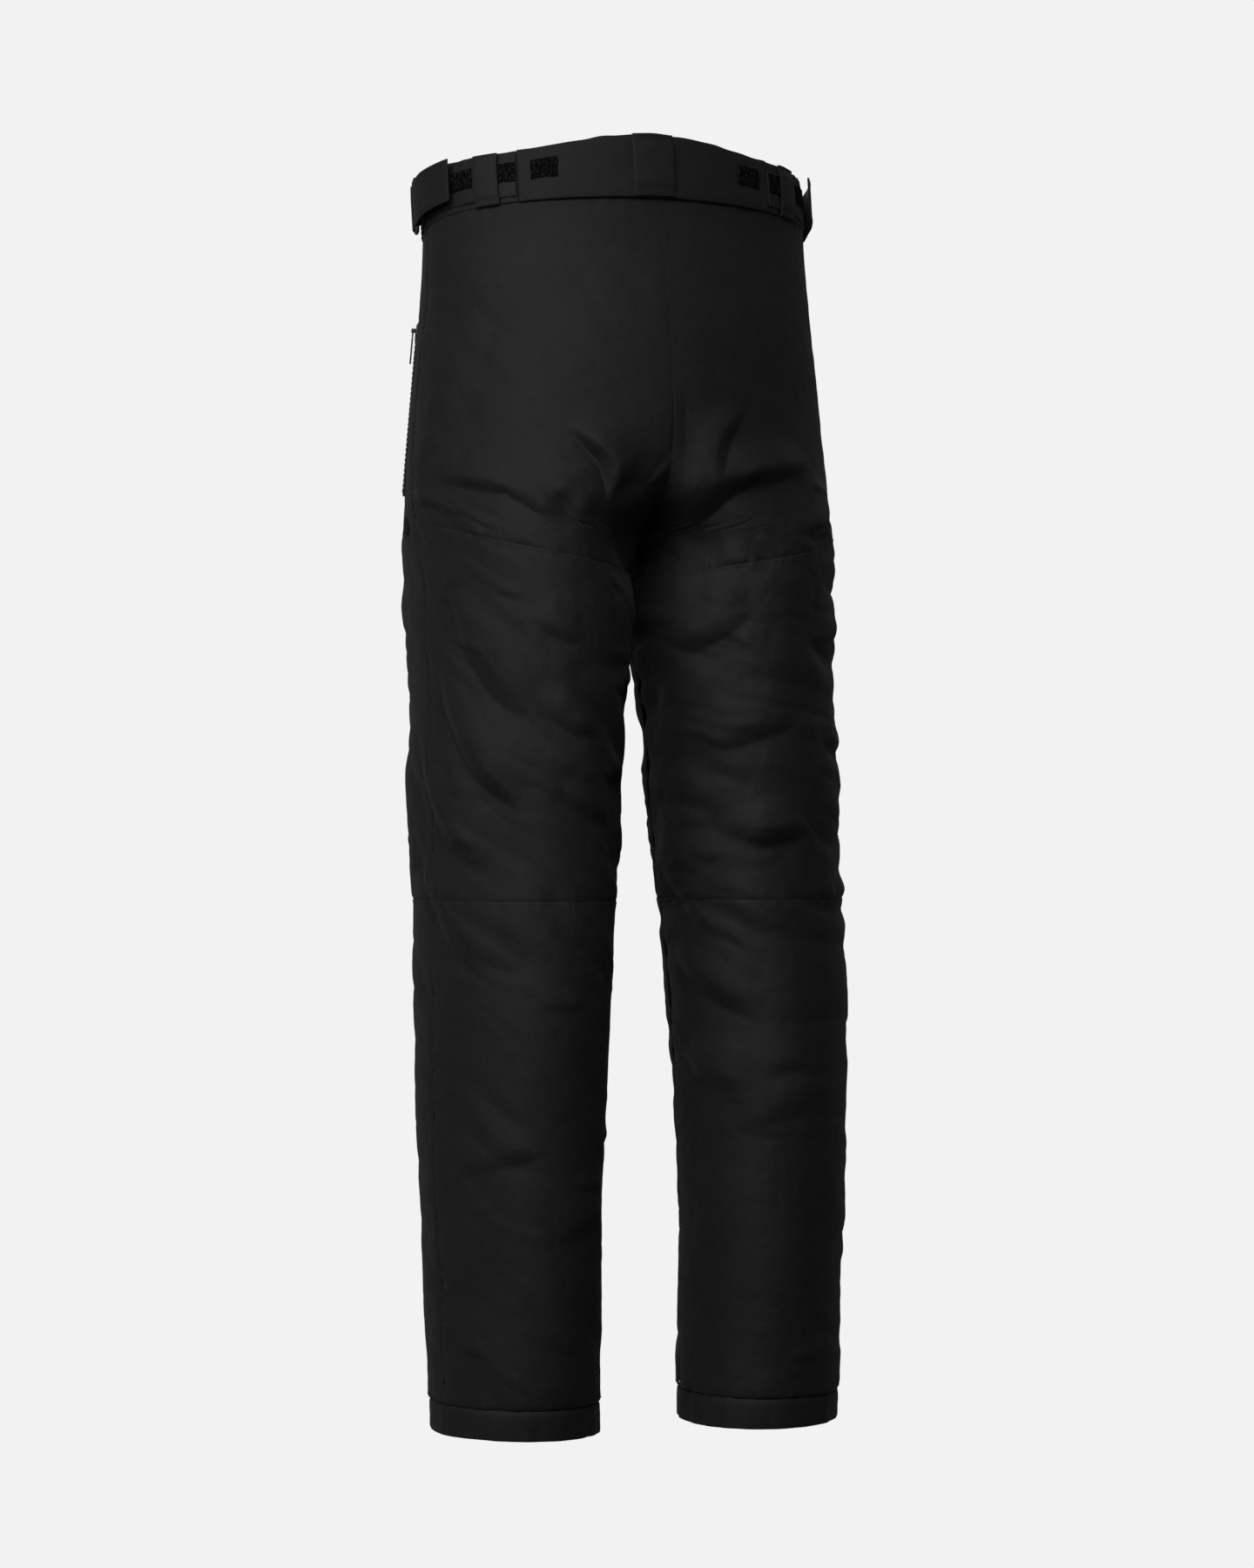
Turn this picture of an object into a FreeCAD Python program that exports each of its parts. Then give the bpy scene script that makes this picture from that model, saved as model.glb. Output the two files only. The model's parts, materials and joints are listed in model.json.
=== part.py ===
"""Insulated ski trousers, standing open as they do when worn.

The frame is in millimetres: +Z up, +X to the wearer's left, -Y to the front.
The origin is the middle of the waist opening, level with the top edge of the
waistband at the side seams.
"""

import FreeCAD, Part
import math
import os

from FreeCAD import Matrix, Placement, Rotation, Vector

# ---- driving dimensions ---------------------------------------------------

# Waistband, a straight elliptical band that is higher at the back.
WAIST_HALF_WIDTH = 166.0
WAIST_HALF_DEPTH = 115.0
BAND_HEIGHT = 52.0
BAND_TILT = 8.5  # degrees, back edge up
BAND_WALL = 2.5
BAND_PROUD = 1.0  # the band's outer face stands this far off the trousers

# Heights of the seams, measured from the top of the waistband at the sides.
CROTCH_Z = -300.0
THIGH_SEAM_OUTER_Z = -293.0
THIGH_SEAM_INNER_Z = -340.0
KNEE_Z = -606.0
HEM_Z = -1043.0
HEM_HEIGHT = 26.0

# Cross-sections of the left leg and of the left half of the seat, as ellipses:
# height, centre x, centre y, half width, half depth, toe-out in degrees.
# Above the crotch each one passes the middle plane and is cut off there.
LEG_TOE_OUT = 10.0
SECTIONS = [
    (40.0, 0.0, 0.0, 165.0, 112.0, 0.0),
    (-52.0, 0.0, 0.0, 166.0, 114.0, 0.0),
    (-120.0, 0.0, 1.0, 169.0, 129.0, 0.0),
    (-190.0, 4.0, 2.0, 172.0, 137.0, 0.0),
    (-235.0, 24.0, 3.0, 155.0, 137.0, 0.0),
    (-268.0, 58.0, 5.0, 122.5, 134.0, 1.5),
    (CROTCH_Z, 90.5, 9.0, 90.5, 130.0, 3.5),
    (-350.0, 93.0, 19.0, 87.0, 124.0, 6.5),
    (-430.0, 97.0, 29.0, 82.5, 117.0, 9.0),
    (-520.0, 101.0, 35.0, 80.5, 111.0, LEG_TOE_OUT),
    (KNEE_Z, 105.0, 43.0, 77.0, 105.5, LEG_TOE_OUT),
    (-690.0, 108.5, 50.0, 74.5, 102.5, LEG_TOE_OUT),
    (-805.0, 110.5, 54.0, 71.0, 97.0, LEG_TOE_OUT),
    (-920.0, 109.5, 56.0, 68.0, 90.0, LEG_TOE_OUT),
    (HEM_Z, 107.5, 54.0, 67.0, 80.0, LEG_TOE_OUT),
    (HEM_Z - 30.0, 107.0, 53.5, 66.5, 77.5, LEG_TOE_OUT),
]
SECTION_POINTS = 16

# Layers of the leg wall, as offsets inwards from its outer face.
SHELL_LAYER = (0.0, -3.0)
POCKET_LAYER = (-3.4, -4.8)
LINING_LAYER = (-5.2, -6.4)
GAITER_TOP_OFFSET = -7.0

# Snow gaiter, a cone of thin cloth from the lining down to a boot.
GAITER_TOP_Z = HEM_Z + 190.0
GAITER_BOTTOM_Z = HEM_Z + 30.0
GAITER_BOOT_HALF_WIDTH = 50.0
GAITER_BOOT_HALF_DEPTH = 58.0
GAITER_WALL = 1.2
GAITER_ELASTIC_HEIGHT = 18.0
GAITER_ELASTIC_WALL = 1.6

# Places round the waistband, in degrees from the centre back to the side.
BACK_PANEL_END = 41.0
SIDE_PANEL_END = 104.0
SIDE_RECESS = 1.2
BACK_LOOP_HALF = 6.0
SIDE_LOOP = (47.3, 56.7)
FRONT_LOOP = (140.0, 149.0)
PATCHES = ((28.0, 36.5), (42.0, 48.5), (57.5, 68.0))
PATCH_LOW = 21.0
PATCH_HIGH = 40.0
PATCH_WALL = 1.2
STRAP = (41.5, 93.0)
STRAP_LOW = 6.0
STRAP_HIGH = 42.0
STRAP_WALL = 1.6
TAB = (67.5, 92.0)
TAB_LOW = 14.0
TAB_HIGH = 50.0
TAB_WALL = 2.0
TAB_LIFT = 6.0

# Belt loops: the gap takes a thin belt.
LOOP_GAP = 3.5
LOOP_WALL = 1.8
LOOP_FOOT = 5.0

# Adjuster ring, a rectangle of round wire, and the webbing that holds it.
RING_ANGLE = 97.0
RING_WIRE = 1.5
RING_LENGTH = 15.0
RING_HEIGHT = 48.0
RING_MIDDLE = 26.5
RING_BEND = 3.0
SLEEVE_CLEARANCE = 0.5
SLEEVE_WALL = 1.2
TAB_SLEEVE = (14.0, 45.0)
ANCHOR_SLEEVE = (10.0, 42.0)
ANCHOR_TAIL = 20.0

# Front closure.
CLOSURE_START = 165.0
CLOSURE_END = 187.0
CLOSURE_WALL = 2.0
CLOSURE_GAP = 0.4
CLOSURE_LOW = 8.0
CLOSURE_HIGH = 46.0
SNAP_ANGLE = 182.6
SNAP_RADIUS = 7.5
SNAP_THICKNESS = 2.2
STUD_RADIUS = 2.8
STUD_CLEARANCE = 0.7

# Zips: half widths and thicknesses of the tape, the teeth and the slider.
TAPE_HALF = 9.0
TAPE_WALL = 0.9
TEETH_HALF = 2.6
TEETH_WALL = 2.2
SLIDER_HALF = 4.4
SLIDER_LENGTH = 11.0
SLIDER_WALL = 0.9
ZIP_CLEARANCE = 0.4
PULL_LENGTH = 28.0
PULL_HALF = 3.0
PULL_WALL = 1.4
PULL_PIN = 0.7
PULL_EYE = 1.6
PIVOT_RISE = 2.0  # the pull's hinge above the slider's plate
PIVOT_DROP = 2.5  # and below the slider's upper end

FLY_TOP = Vector(0.0, -116.6, -78.0)
FLY_BOTTOM = Vector(0.0, -131.8, -205.0)
POCKET_TOP = Vector(163.0, -34.0, -128.0)
POCKET_BOTTOM = Vector(173.0, -42.0, -266.0)
PLACKET_HALF = 21.0
PLACKET_WALL = 1.6
PLACKET_LIFT = 7.0

# Plain loop of tape sewn in the left side seam.
SIDE_TAG_Z = -296.0
SIDE_TAG_HEIGHT = 18.0

FAR = 700.0  # larger than any part, for the blocks that cut pieces to length
TRIM_Z = 30.0  # the leg solids are cut here, just under their top cap
SEAM_GAP = 0.3  # between panels that meet at the centre seam or the waist seam


# ---- building blocks --------------------------------------------------------


def block(corners, axis):
    """A long prism across the whole garment, from its outline seen along X or Y."""
    if axis == "X":
        points = [Vector(-FAR, y, z) for y, z in corners]
        run = Vector(2 * FAR, 0, 0)
    else:
        points = [Vector(x, -FAR, z) for x, z in corners]
        run = Vector(0, 2 * FAR, 0)
    outline = Part.makePolygon(points + [points[0]])
    return Part.Face(outline).extrude(run)


def box_between(low, high):
    """An upright box from its lowest to its highest corner."""
    size = Vector(*high) - Vector(*low)
    return Part.makeBox(size.x, size.y, size.z, Vector(*low))


def waist_height(y):
    """Height of the waistband's lower edge at a depth y."""
    return -BAND_HEIGHT + y * math.tan(math.radians(BAND_TILT))


def section_wire(height, x, y, half_width, half_depth, toe, grow):
    """One closed cross-section of the left leg, made larger by grow."""
    turn = math.radians(toe)
    points = []
    for i in range(SECTION_POINTS):
        angle = 2 * math.pi * i / SECTION_POINTS
        across = (half_width + grow) * math.cos(angle)
        along = (half_depth + grow) * math.sin(angle)
        px = x + across * math.cos(turn) - along * math.sin(turn)
        py = y + across * math.sin(turn) + along * math.cos(turn)
        points.append(Vector(px, py, height))
    curve = Part.BSplineCurve()
    curve.interpolate(Points=points, PeriodicFlag=True)
    return Part.Wire(curve.toShape())


def section_at(height):
    """The leg's cross-section at any height, between the two listed next to it."""
    pairs = zip(SECTIONS, SECTIONS[1:])
    upper, lower = next(pair for pair in pairs if pair[0][0] >= height >= pair[1][0])
    share = (upper[0] - height) / (upper[0] - lower[0])
    return [a + (b - a) * share for a, b in zip(upper, lower)]


def leg_solid(grow):
    """The left leg and left half of the seat as one solid, made larger by grow."""
    wires = [section_wire(*section, grow) for section in SECTIONS]
    return Part.makeLoft(wires, True)


LEFT_SIDE = box_between((SEAM_GAP / 2, -FAR, -2 * FAR), (FAR, FAR, TRIM_Z))
UNDER_BAND = block(
    [(-FAR, waist_height(-FAR)), (FAR, waist_height(FAR)), (FAR, -2 * FAR), (-FAR, -2 * FAR)],
    "X",
)


def layer(outer, inner):
    """A layer of the left half's wall between two offsets, below the waistband."""
    wall = leg_solid(outer).common(LEFT_SIDE).cut(leg_solid(inner).common(LEFT_SIDE))
    return wall.common(UNDER_BAND)


def side_seam():
    """Outline of the space behind the side seam, which follows the leg's middle."""
    seam = [(section[2], section[0]) for section in SECTIONS]
    return [(FAR, seam[0][1])] + seam + [(FAR, seam[-1][1])]


BEHIND = block(side_seam(), "X")
SEAM_RUN = (THIGH_SEAM_OUTER_Z - THIGH_SEAM_INNER_Z) / WAIST_HALF_WIDTH
ABOVE_THIGH_SEAM = block(
    [
        (0, THIGH_SEAM_INNER_Z),
        (FAR, THIGH_SEAM_INNER_Z + SEAM_RUN * FAR),
        (FAR, FAR),
        (0, FAR),
    ],
    "Y",
)
ABOVE_KNEE = box_between((-FAR, -FAR, KNEE_Z), (FAR, FAR, FAR))
ABOVE_HEM = box_between((-FAR, -FAR, HEM_Z + HEM_HEIGHT), (FAR, FAR, FAR))
ABOVE_FLOOR = box_between((-FAR, -FAR, HEM_Z), (FAR, FAR, FAR))


# ---- waistband frame ---------------------------------------------------------

BAND_PLACE = Placement(
    Vector(0, 0, SEAM_GAP - BAND_HEIGHT),
    Rotation(Vector(1, 0, 0), BAND_TILT),
)


def on_band(angle, height=0.0, offset=0.0):
    """A point of the flat band: angle from the centre back towards the wearer's left."""
    turn = math.radians(angle)
    x = (WAIST_HALF_WIDTH + offset) * math.sin(turn)
    y = (WAIST_HALF_DEPTH + offset) * math.cos(turn)
    return Vector(x, y, height)


def ellipse_prism(offset, low, high):
    """A solid elliptical cylinder, offset outwards from the band's outer face."""
    curve = Part.Ellipse(Vector(0, 0, low), WAIST_HALF_WIDTH + offset, WAIST_HALF_DEPTH + offset)
    return Part.Face(Part.Wire(curve.toShape())).extrude(Vector(0, 0, high - low))


def sector(start, end, low, high):
    """The wedge of space round the band between two angles."""
    steps = max(2, math.ceil((end - start) / 40) + 1)
    angles = [start + (end - start) * i / (steps - 1) for i in range(steps)]
    rim = [on_band(angle, low) * 3 for angle in angles]
    for point in rim:
        point.z = low
    outline = Part.makePolygon([Vector(0, 0, low)] + rim + [Vector(0, 0, low)])
    return Part.Face(outline).extrude(Vector(0, 0, high - low))


def band_plate(start, end, low, high, inner, outer):
    """A curved plate on the flat band, between two angles, heights and offsets."""
    ring = ellipse_prism(outer, low, high).cut(ellipse_prism(inner, low - 1, high + 1))
    return ring.common(sector(start, end, low - 1, high + 1))


def tilted(shape):
    """Moves a shape from the flat band to where the waistband is."""
    placed = shape.copy()
    placed.Placement = BAND_PLACE.multiply(placed.Placement)
    return placed


def mirrored(shape):
    """The same piece on the wearer's right."""
    return shape.mirror(Vector(0, 0, 0), Vector(1, 0, 0))


# ---- zips ---------------------------------------------------------------------


def zip_frame(top, bottom, outward):
    """Placement whose Z runs up the zip and whose X points out of the garment."""
    up = (top - bottom).normalize()
    out = (outward - up * outward.dot(up)).normalize()
    across = up.cross(out)
    matrix = Matrix(
        out.x, across.x, up.x, top.x,
        out.y, across.y, up.y, top.y,
        out.z, across.z, up.z, top.z,
        0, 0, 0, 1,
    )
    return Placement(matrix)


def placed(shape, placement):
    """A shape moved to a placement."""
    moved = shape.copy()
    moved.Placement = placement.multiply(moved.Placement)
    return moved


def zip_tape(length):
    """Two tapes joined by the closed teeth, running down from the origin."""
    tape = box_between((-TAPE_WALL / 2, -TAPE_HALF, -length), (TAPE_WALL / 2, TAPE_HALF, 6))
    teeth = box_between((-TEETH_WALL / 2, -TEETH_HALF, -length), (TEETH_WALL / 2, TEETH_HALF, 6))
    return tape.fuse(teeth).removeSplitter()


def slider_top():
    """Height of the slider's plate over the middle of the tape."""
    return TEETH_WALL / 2 + ZIP_CLEARANCE + SLIDER_WALL


def pull_pivot():
    """Where the pull's hinge axis crosses the zip's middle, in the zip's frame."""
    return Vector(slider_top() + PIVOT_RISE, 0, -PIVOT_DROP)


def zip_slider():
    """Slider: a plate over the teeth, clear of them, with two lugs and a pin."""
    top = slider_top()
    pivot = pull_pivot()
    plate = box_between((top - SLIDER_WALL, -SLIDER_HALF, -SLIDER_LENGTH), (top, SLIDER_HALF, 0))
    plate = plate.makeFillet(1.5, [e for e in plate.Edges if abs(e.tangentAt(0).x) > 0.9])
    lugs = [
        box_between((top - 0.2, side - 0.5, pivot.z - 1.7), (pivot.x + 1.2, side + 0.5, pivot.z + 1.7))
        for side in (-2.1, 2.1)
    ]
    pin = Part.makeCylinder(PULL_PIN, 4.2, Vector(pivot.x, -2.1, pivot.z), Vector(0, 1, 0))
    return plate.fuse([*lugs, pin]).removeSplitter()


def zip_pull(length):
    """Flat pull with an eye round the slider's pin, hanging down."""
    pivot = pull_pivot()
    inside = pivot.x - PULL_WALL / 2
    outside = pivot.x + PULL_WALL / 2
    eye = Part.makeCylinder(PULL_EYE, 2.2, Vector(pivot.x, -1.1, pivot.z), Vector(0, 1, 0))
    neck = box_between((inside, -1.1, pivot.z - 5), (outside, 1.1, pivot.z))
    tongue = box_between((inside, -PULL_HALF, pivot.z - length), (outside, PULL_HALF, pivot.z - 4))
    tongue = tongue.makeFillet(2.0, [e for e in tongue.Edges if abs(e.tangentAt(0).x) > 0.9])
    bore = Part.makeCylinder(PULL_PIN + 0.3, 3, Vector(pivot.x, -1.5, pivot.z), Vector(0, 1, 0))
    return eye.fuse([neck, tongue]).cut(bore).removeSplitter()


# ---- pieces -----------------------------------------------------------------------


def leg_pieces(openings):
    """Outer panels, lining and hem of the left half, with the zip slots cut out."""
    shell = layer(*SHELL_LAYER).common(ABOVE_FLOOR)
    upper = shell.cut(openings)
    back = shell.common(BEHIND)
    front = upper.cut(BEHIND)
    lining = layer(*LINING_LAYER).cut(openings)
    return {
        "seat_panel": back.common(ABOVE_THIGH_SEAM),
        "thigh_back": back.cut(ABOVE_THIGH_SEAM).common(ABOVE_KNEE),
        "shin_back": back.cut(ABOVE_KNEE).common(ABOVE_HEM),
        "front_panel": front.common(ABOVE_KNEE),
        "shin_front": front.cut(ABOVE_KNEE).common(ABOVE_HEM),
        "hem": shell.cut(ABOVE_HEM),
        "lining": lining.common(ABOVE_HEM),
    }


def gaiter_wires(grow):
    """Sections of the gaiter, from under the lining down to round the boot."""
    x, y = section_at(HEM_Z)[1:3]
    top = section_wire(*section_at(GAITER_TOP_Z), GAITER_TOP_OFFSET + grow)
    boot = (GAITER_BOOT_HALF_WIDTH, GAITER_BOOT_HALF_DEPTH)
    cuff = section_wire(GAITER_BOTTOM_Z + GAITER_ELASTIC_HEIGHT, x, y, *boot, LEG_TOE_OUT, grow)
    end = section_wire(GAITER_BOTTOM_Z, x, y, *boot, LEG_TOE_OUT, grow)
    return [top, cuff, end]


def gaiter_pieces():
    """Snow gaiter and the elastic round its lower edge."""
    cone = Part.makeLoft(gaiter_wires(0.0), True, True)
    gaiter = cone.cut(Part.makeLoft(gaiter_wires(-GAITER_WALL), True, True))
    cuff_space = box_between(
        (-FAR, -FAR, GAITER_BOTTOM_Z), (FAR, FAR, GAITER_BOTTOM_Z + GAITER_ELASTIC_HEIGHT)
    )
    outer = Part.makeLoft(gaiter_wires(0.3 + GAITER_ELASTIC_WALL), True, True)
    elastic = outer.cut(Part.makeLoft(gaiter_wires(0.3), True, True)).common(cuff_space)
    return {"snow_gaiter": gaiter, "gaiter_elastic": elastic}


def pocket_bag():
    """Flat pocket bag between the panel and the lining."""
    space = box_between((20, -FAR, -300), (FAR, POCKET_TOP.y - TAPE_HALF - 1, -110))
    return layer(*POCKET_LAYER).common(space)


def belt_loop(start, end, low, high):
    """A strap sewn down at its two ends, standing off the band for a belt."""
    bridge = band_plate(start, end, low, high, BAND_PROUD, BAND_PROUD + LOOP_GAP + LOOP_WALL)
    gap = band_plate(
        start - 2, end + 2, low + LOOP_FOOT, high - LOOP_FOOT, 0.0, BAND_PROUD + LOOP_GAP
    )
    return tilted(bridge.cut(gap))


def waistband_pieces():
    """The band's outer panels, elastics, facing, belt loops and loop patches."""
    outer = BAND_PROUD
    inner = BAND_PROUD - BAND_WALL
    low, high = 0.0, BAND_HEIGHT
    side_face = outer - SIDE_RECESS
    pieces = {
        "waistband_back": band_plate(-BACK_PANEL_END, BACK_PANEL_END, low, high, inner, outer),
        "waistband_facing": ellipse_prism(inner - 1.8, low, high).cut(
            ellipse_prism(inner - 3.0, low - 1, high + 1)
        ),
    }
    left = {
        "waistband_side": band_plate(
            BACK_PANEL_END, SIDE_PANEL_END, low, high, inner, side_face
        ),
        "waistband_front": band_plate(SIDE_PANEL_END, 180, low, high, inner, outer),
        "waist_elastic": band_plate(
            BACK_PANEL_END + 2, SIDE_PANEL_END - 2, low + 6, high - 6, inner - 1.5, inner - 0.3
        ),
    }
    for name, shape in left.items():
        pieces[name + "_left"] = shape
        pieces[name + "_right"] = mirrored(shape)
    return {name: tilted(shape) for name, shape in pieces.items()}


def loop_patches():
    """Three patches of hook-and-loop tape: one on the back panel, two on the strap."""
    strap_face = BAND_PROUD - SIDE_RECESS + STRAP_WALL
    outer_faces = (BAND_PROUD, strap_face, strap_face)
    plates = [
        band_plate(start, end, PATCH_LOW, PATCH_HIGH, face, face + PATCH_WALL)
        for (start, end), face in zip(PATCHES, outer_faces)
    ]
    return tilted(Part.makeCompound(plates))


def adjuster_strap():
    """Strap sewn to the side of the band, running forward under the loop to the ring."""
    face = BAND_PROUD - SIDE_RECESS
    return tilted(band_plate(*STRAP, STRAP_LOW, STRAP_HIGH, face, face + STRAP_WALL))


def ring_frame():
    """Placement of the ring on the flat band: X along the band, Y out of it, Z up."""
    turn = math.radians(RING_ANGLE)
    along = Vector(
        WAIST_HALF_WIDTH * math.cos(turn), -WAIST_HALF_DEPTH * math.sin(turn), 0
    ).normalize()
    out = Vector(0, 0, 1).cross(along)
    matrix = Matrix(
        along.x, out.x, 0, 0,
        along.y, out.y, 0, 0,
        along.z, out.z, 1, 0,
        0, 0, 0, 1,
    )
    frame = Placement(matrix)
    frame.Base = on_band(RING_ANGLE, RING_MIDDLE, BAND_PROUD + TAB_LIFT - 1.5)
    return frame


def ring_bar(side):
    """Where a bar of the ring is along the band, from the ring's middle."""
    return side * (RING_LENGTH / 2 - RING_WIRE)


def sleeve(side, low, high, flap):
    """Webbing round one bar of the ring, with a flat flap that leaves it."""
    base = low - RING_MIDDLE
    height = high - low
    hole = RING_WIRE + SLEEVE_CLEARANCE
    bar = Vector(ring_bar(side), 0, base)
    tube = Part.makeCylinder(hole + SLEEVE_WALL, height, bar)
    low_corner, high_corner = flap
    flat = box_between((*low_corner, base), (*high_corner, base + height))
    bore = Part.makeCylinder(hole, height + 2, bar - Vector(0, 0, 1))
    return placed(tube.fuse(flat).cut(bore), ring_frame())


def adjuster_tab():
    """Free end of the strap: a stiff tab that folds back from the ring's rear bar."""
    lift = BAND_PROUD + TAB_LIFT
    plate = band_plate(*TAB, TAB_LOW, TAB_HIGH, lift, lift + TAB_WALL)
    top = RING_WIRE + SLEEVE_CLEARANCE + SLEEVE_WALL
    flap = ((ring_bar(-1) - 7.0, top - 1.8), (ring_bar(-1), top))
    return tilted(plate.fuse(sleeve(-1, *TAB_SLEEVE, flap)))


def ring_anchor():
    """Webbing loop round the ring's front bar, with a tail sewn to the band."""
    top = RING_WIRE + SLEEVE_CLEARANCE + SLEEVE_WALL
    flap = ((ring_bar(1), -top), (ring_bar(1) + ANCHOR_TAIL, SLEEVE_WALL - top))
    return tilted(sleeve(1, *ANCHOR_SLEEVE, flap))


def adjuster_ring():
    """Rectangle of round wire with rounded corners."""
    half_length = RING_LENGTH / 2 - RING_WIRE
    half_height = RING_HEIGHT / 2 - RING_WIRE
    corners = [
        Vector(x * half_length, 0, z * half_height) for x, z in ((1, 1), (-1, 1), (-1, -1), (1, -1))
    ]
    edges = []
    for i, start in enumerate(corners):
        end = corners[(i + 1) % 4]
        after = corners[(i + 2) % 4]
        step = (end - start).normalize() * RING_BEND
        leave = (after - end).normalize() * RING_BEND
        centre = end - step + leave
        middle = centre + (end - centre).normalize() * RING_BEND
        edges.append(Part.makeLine(start + step, end - step))
        edges.append(Part.Arc(end - step, middle, end + leave).toShape())
    path = Part.Wire(edges)
    first = path.Edges[0]
    start = first.valueAt(first.FirstParameter)
    profile = Part.Wire(Part.makeCircle(RING_WIRE, start, first.tangentAt(first.FirstParameter)))
    ring = path.makePipeShell([profile], True, False)
    return tilted(placed(ring, ring_frame()))


def closure_pieces():
    """Overlapping end of the front closure, its snap's cap and the stud under it."""
    face = BAND_PROUD + CLOSURE_GAP
    middle = (CLOSURE_LOW + CLOSURE_HIGH) / 2
    inwards = on_band(SNAP_ANGLE) - on_band(SNAP_ANGLE, 0, 1)
    tab = band_plate(
        CLOSURE_START, CLOSURE_END, CLOSURE_LOW, CLOSURE_HIGH, face, face + CLOSURE_WALL
    )
    top = on_band(SNAP_ANGLE, middle, face + CLOSURE_WALL)
    hole = Part.makeCylinder(STUD_RADIUS + STUD_CLEARANCE, 8, top - inwards * 2, inwards)
    cap = Part.makeCylinder(SNAP_RADIUS, SNAP_THICKNESS, top - inwards * 0.05, inwards * -1)
    cap = cap.makeFillet(1.2, [cap.Edges[0]])
    stud_top = top + inwards * CLOSURE_GAP
    stud = Part.makeCylinder(STUD_RADIUS, 6, stud_top, inwards)
    stud = stud.cut(ellipse_prism(BAND_PROUD + 0.05, 0, BAND_HEIGHT))
    pieces = {"closure_tab": tab.cut(hole), "snap_cap": cap, "snap_stud": stud}
    return {name: tilted(shape) for name, shape in pieces.items()}


def zip_set(top, bottom, outward):
    """Tape, slider and pull of one zip, and the slot that it needs in the panels."""
    frame = zip_frame(top, bottom, outward)
    length = (top - bottom).Length
    slot = box_between((-12, -TAPE_HALF - 0.2, -length - 0.2), (12, TAPE_HALF + 0.2, 6.2))
    return {
        "zip": placed(zip_tape(length), frame),
        "slider": placed(zip_slider(), frame),
        "pull": placed(zip_pull(PULL_LENGTH), frame),
        "slot": placed(slot, frame),
    }


def fly_placket():
    """Flap over the fly, sewn down along its left edge."""
    frame = zip_frame(FLY_TOP, FLY_BOTTOM, Vector(0, -1, 0))
    length = (FLY_TOP - FLY_BOTTOM).Length
    flap = box_between(
        (PLACKET_LIFT, -PLACKET_HALF, -length - 8),
        (PLACKET_LIFT + PLACKET_WALL, PLACKET_HALF, 0),
    )
    return placed(flap, frame)


def side_tag():
    """Plain folded loop of tape standing out of the left side seam."""
    reach = 5.0
    x = 181.4
    return box_between(
        (x, -8.0, SIDE_TAG_Z - SIDE_TAG_HEIGHT / 2), (x + reach, -6.4, SIDE_TAG_Z + SIDE_TAG_HEIGHT / 2)
    )


# ---- assembly ----------------------------------------------------------------------


def both_sides(pieces):
    """Each left piece under its own name, with its mirror image for the right."""
    result = {}
    for name, shape in pieces.items():
        result[name + "_left"] = shape
        result[name + "_right"] = mirrored(shape)
    return result


def build():
    """Every piece of the trousers, by node name."""
    fly = zip_set(FLY_TOP, FLY_BOTTOM, Vector(0, -1, 0))
    pocket = zip_set(POCKET_TOP, POCKET_BOTTOM, Vector(1, -0.3, 0))
    slots = fly["slot"].fuse(pocket["slot"])
    pieces = both_sides(leg_pieces(slots))
    pieces.update(both_sides(gaiter_pieces()))
    pieces.update(both_sides({"pocket_bag": pocket_bag().cut(pocket["slot"])}))
    pieces.update(waistband_pieces())
    pieces["belt_loop_back"] = belt_loop(-BACK_LOOP_HALF, BACK_LOOP_HALF, 2, BAND_HEIGHT)
    pieces.update(both_sides({
        "belt_loop_side": belt_loop(*SIDE_LOOP, 0, BAND_HEIGHT - 4),
        "belt_loop_front": belt_loop(*FRONT_LOOP, 2, BAND_HEIGHT - 2),
        "loop_patches": loop_patches(),
        "adjuster_strap": adjuster_strap(),
        "adjuster_tab": adjuster_tab(),
        "adjuster_ring": adjuster_ring(),
        "ring_anchor": ring_anchor(),
        "pocket_zip": pocket["zip"],
        "pocket_slider": pocket["slider"],
        "pocket_pull": pocket["pull"],
    }))
    pieces.update(closure_pieces())
    pieces["fly_zip"] = fly["zip"]
    pieces["fly_slider"] = fly["slider"]
    pieces["fly_pull"] = fly["pull"]
    pieces["fly_placket"] = fly_placket()
    pieces["side_tag"] = side_tag()
    return pieces


def main():
    os.makedirs("parts", exist_ok=True)
    for name, shape in build().items():
        solids = shape.Solids
        whole = solids[0] if len(solids) == 1 else Part.makeCompound(solids)
        print(name, len(solids), "solids", round(whole.Volume / 1000, 2), "cm3", whole.isValid())
        whole.exportStep(os.path.join("parts", name + ".step"))


main()
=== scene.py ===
"""The looks of the insulated ski trousers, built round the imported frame.

Lengths inside the script are in millimetres and are turned into metres when a
mesh is made. +Z is up, +X is the wearer's left and -Y is the front.
"""

import json
import math
from typing import NamedTuple

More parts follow.
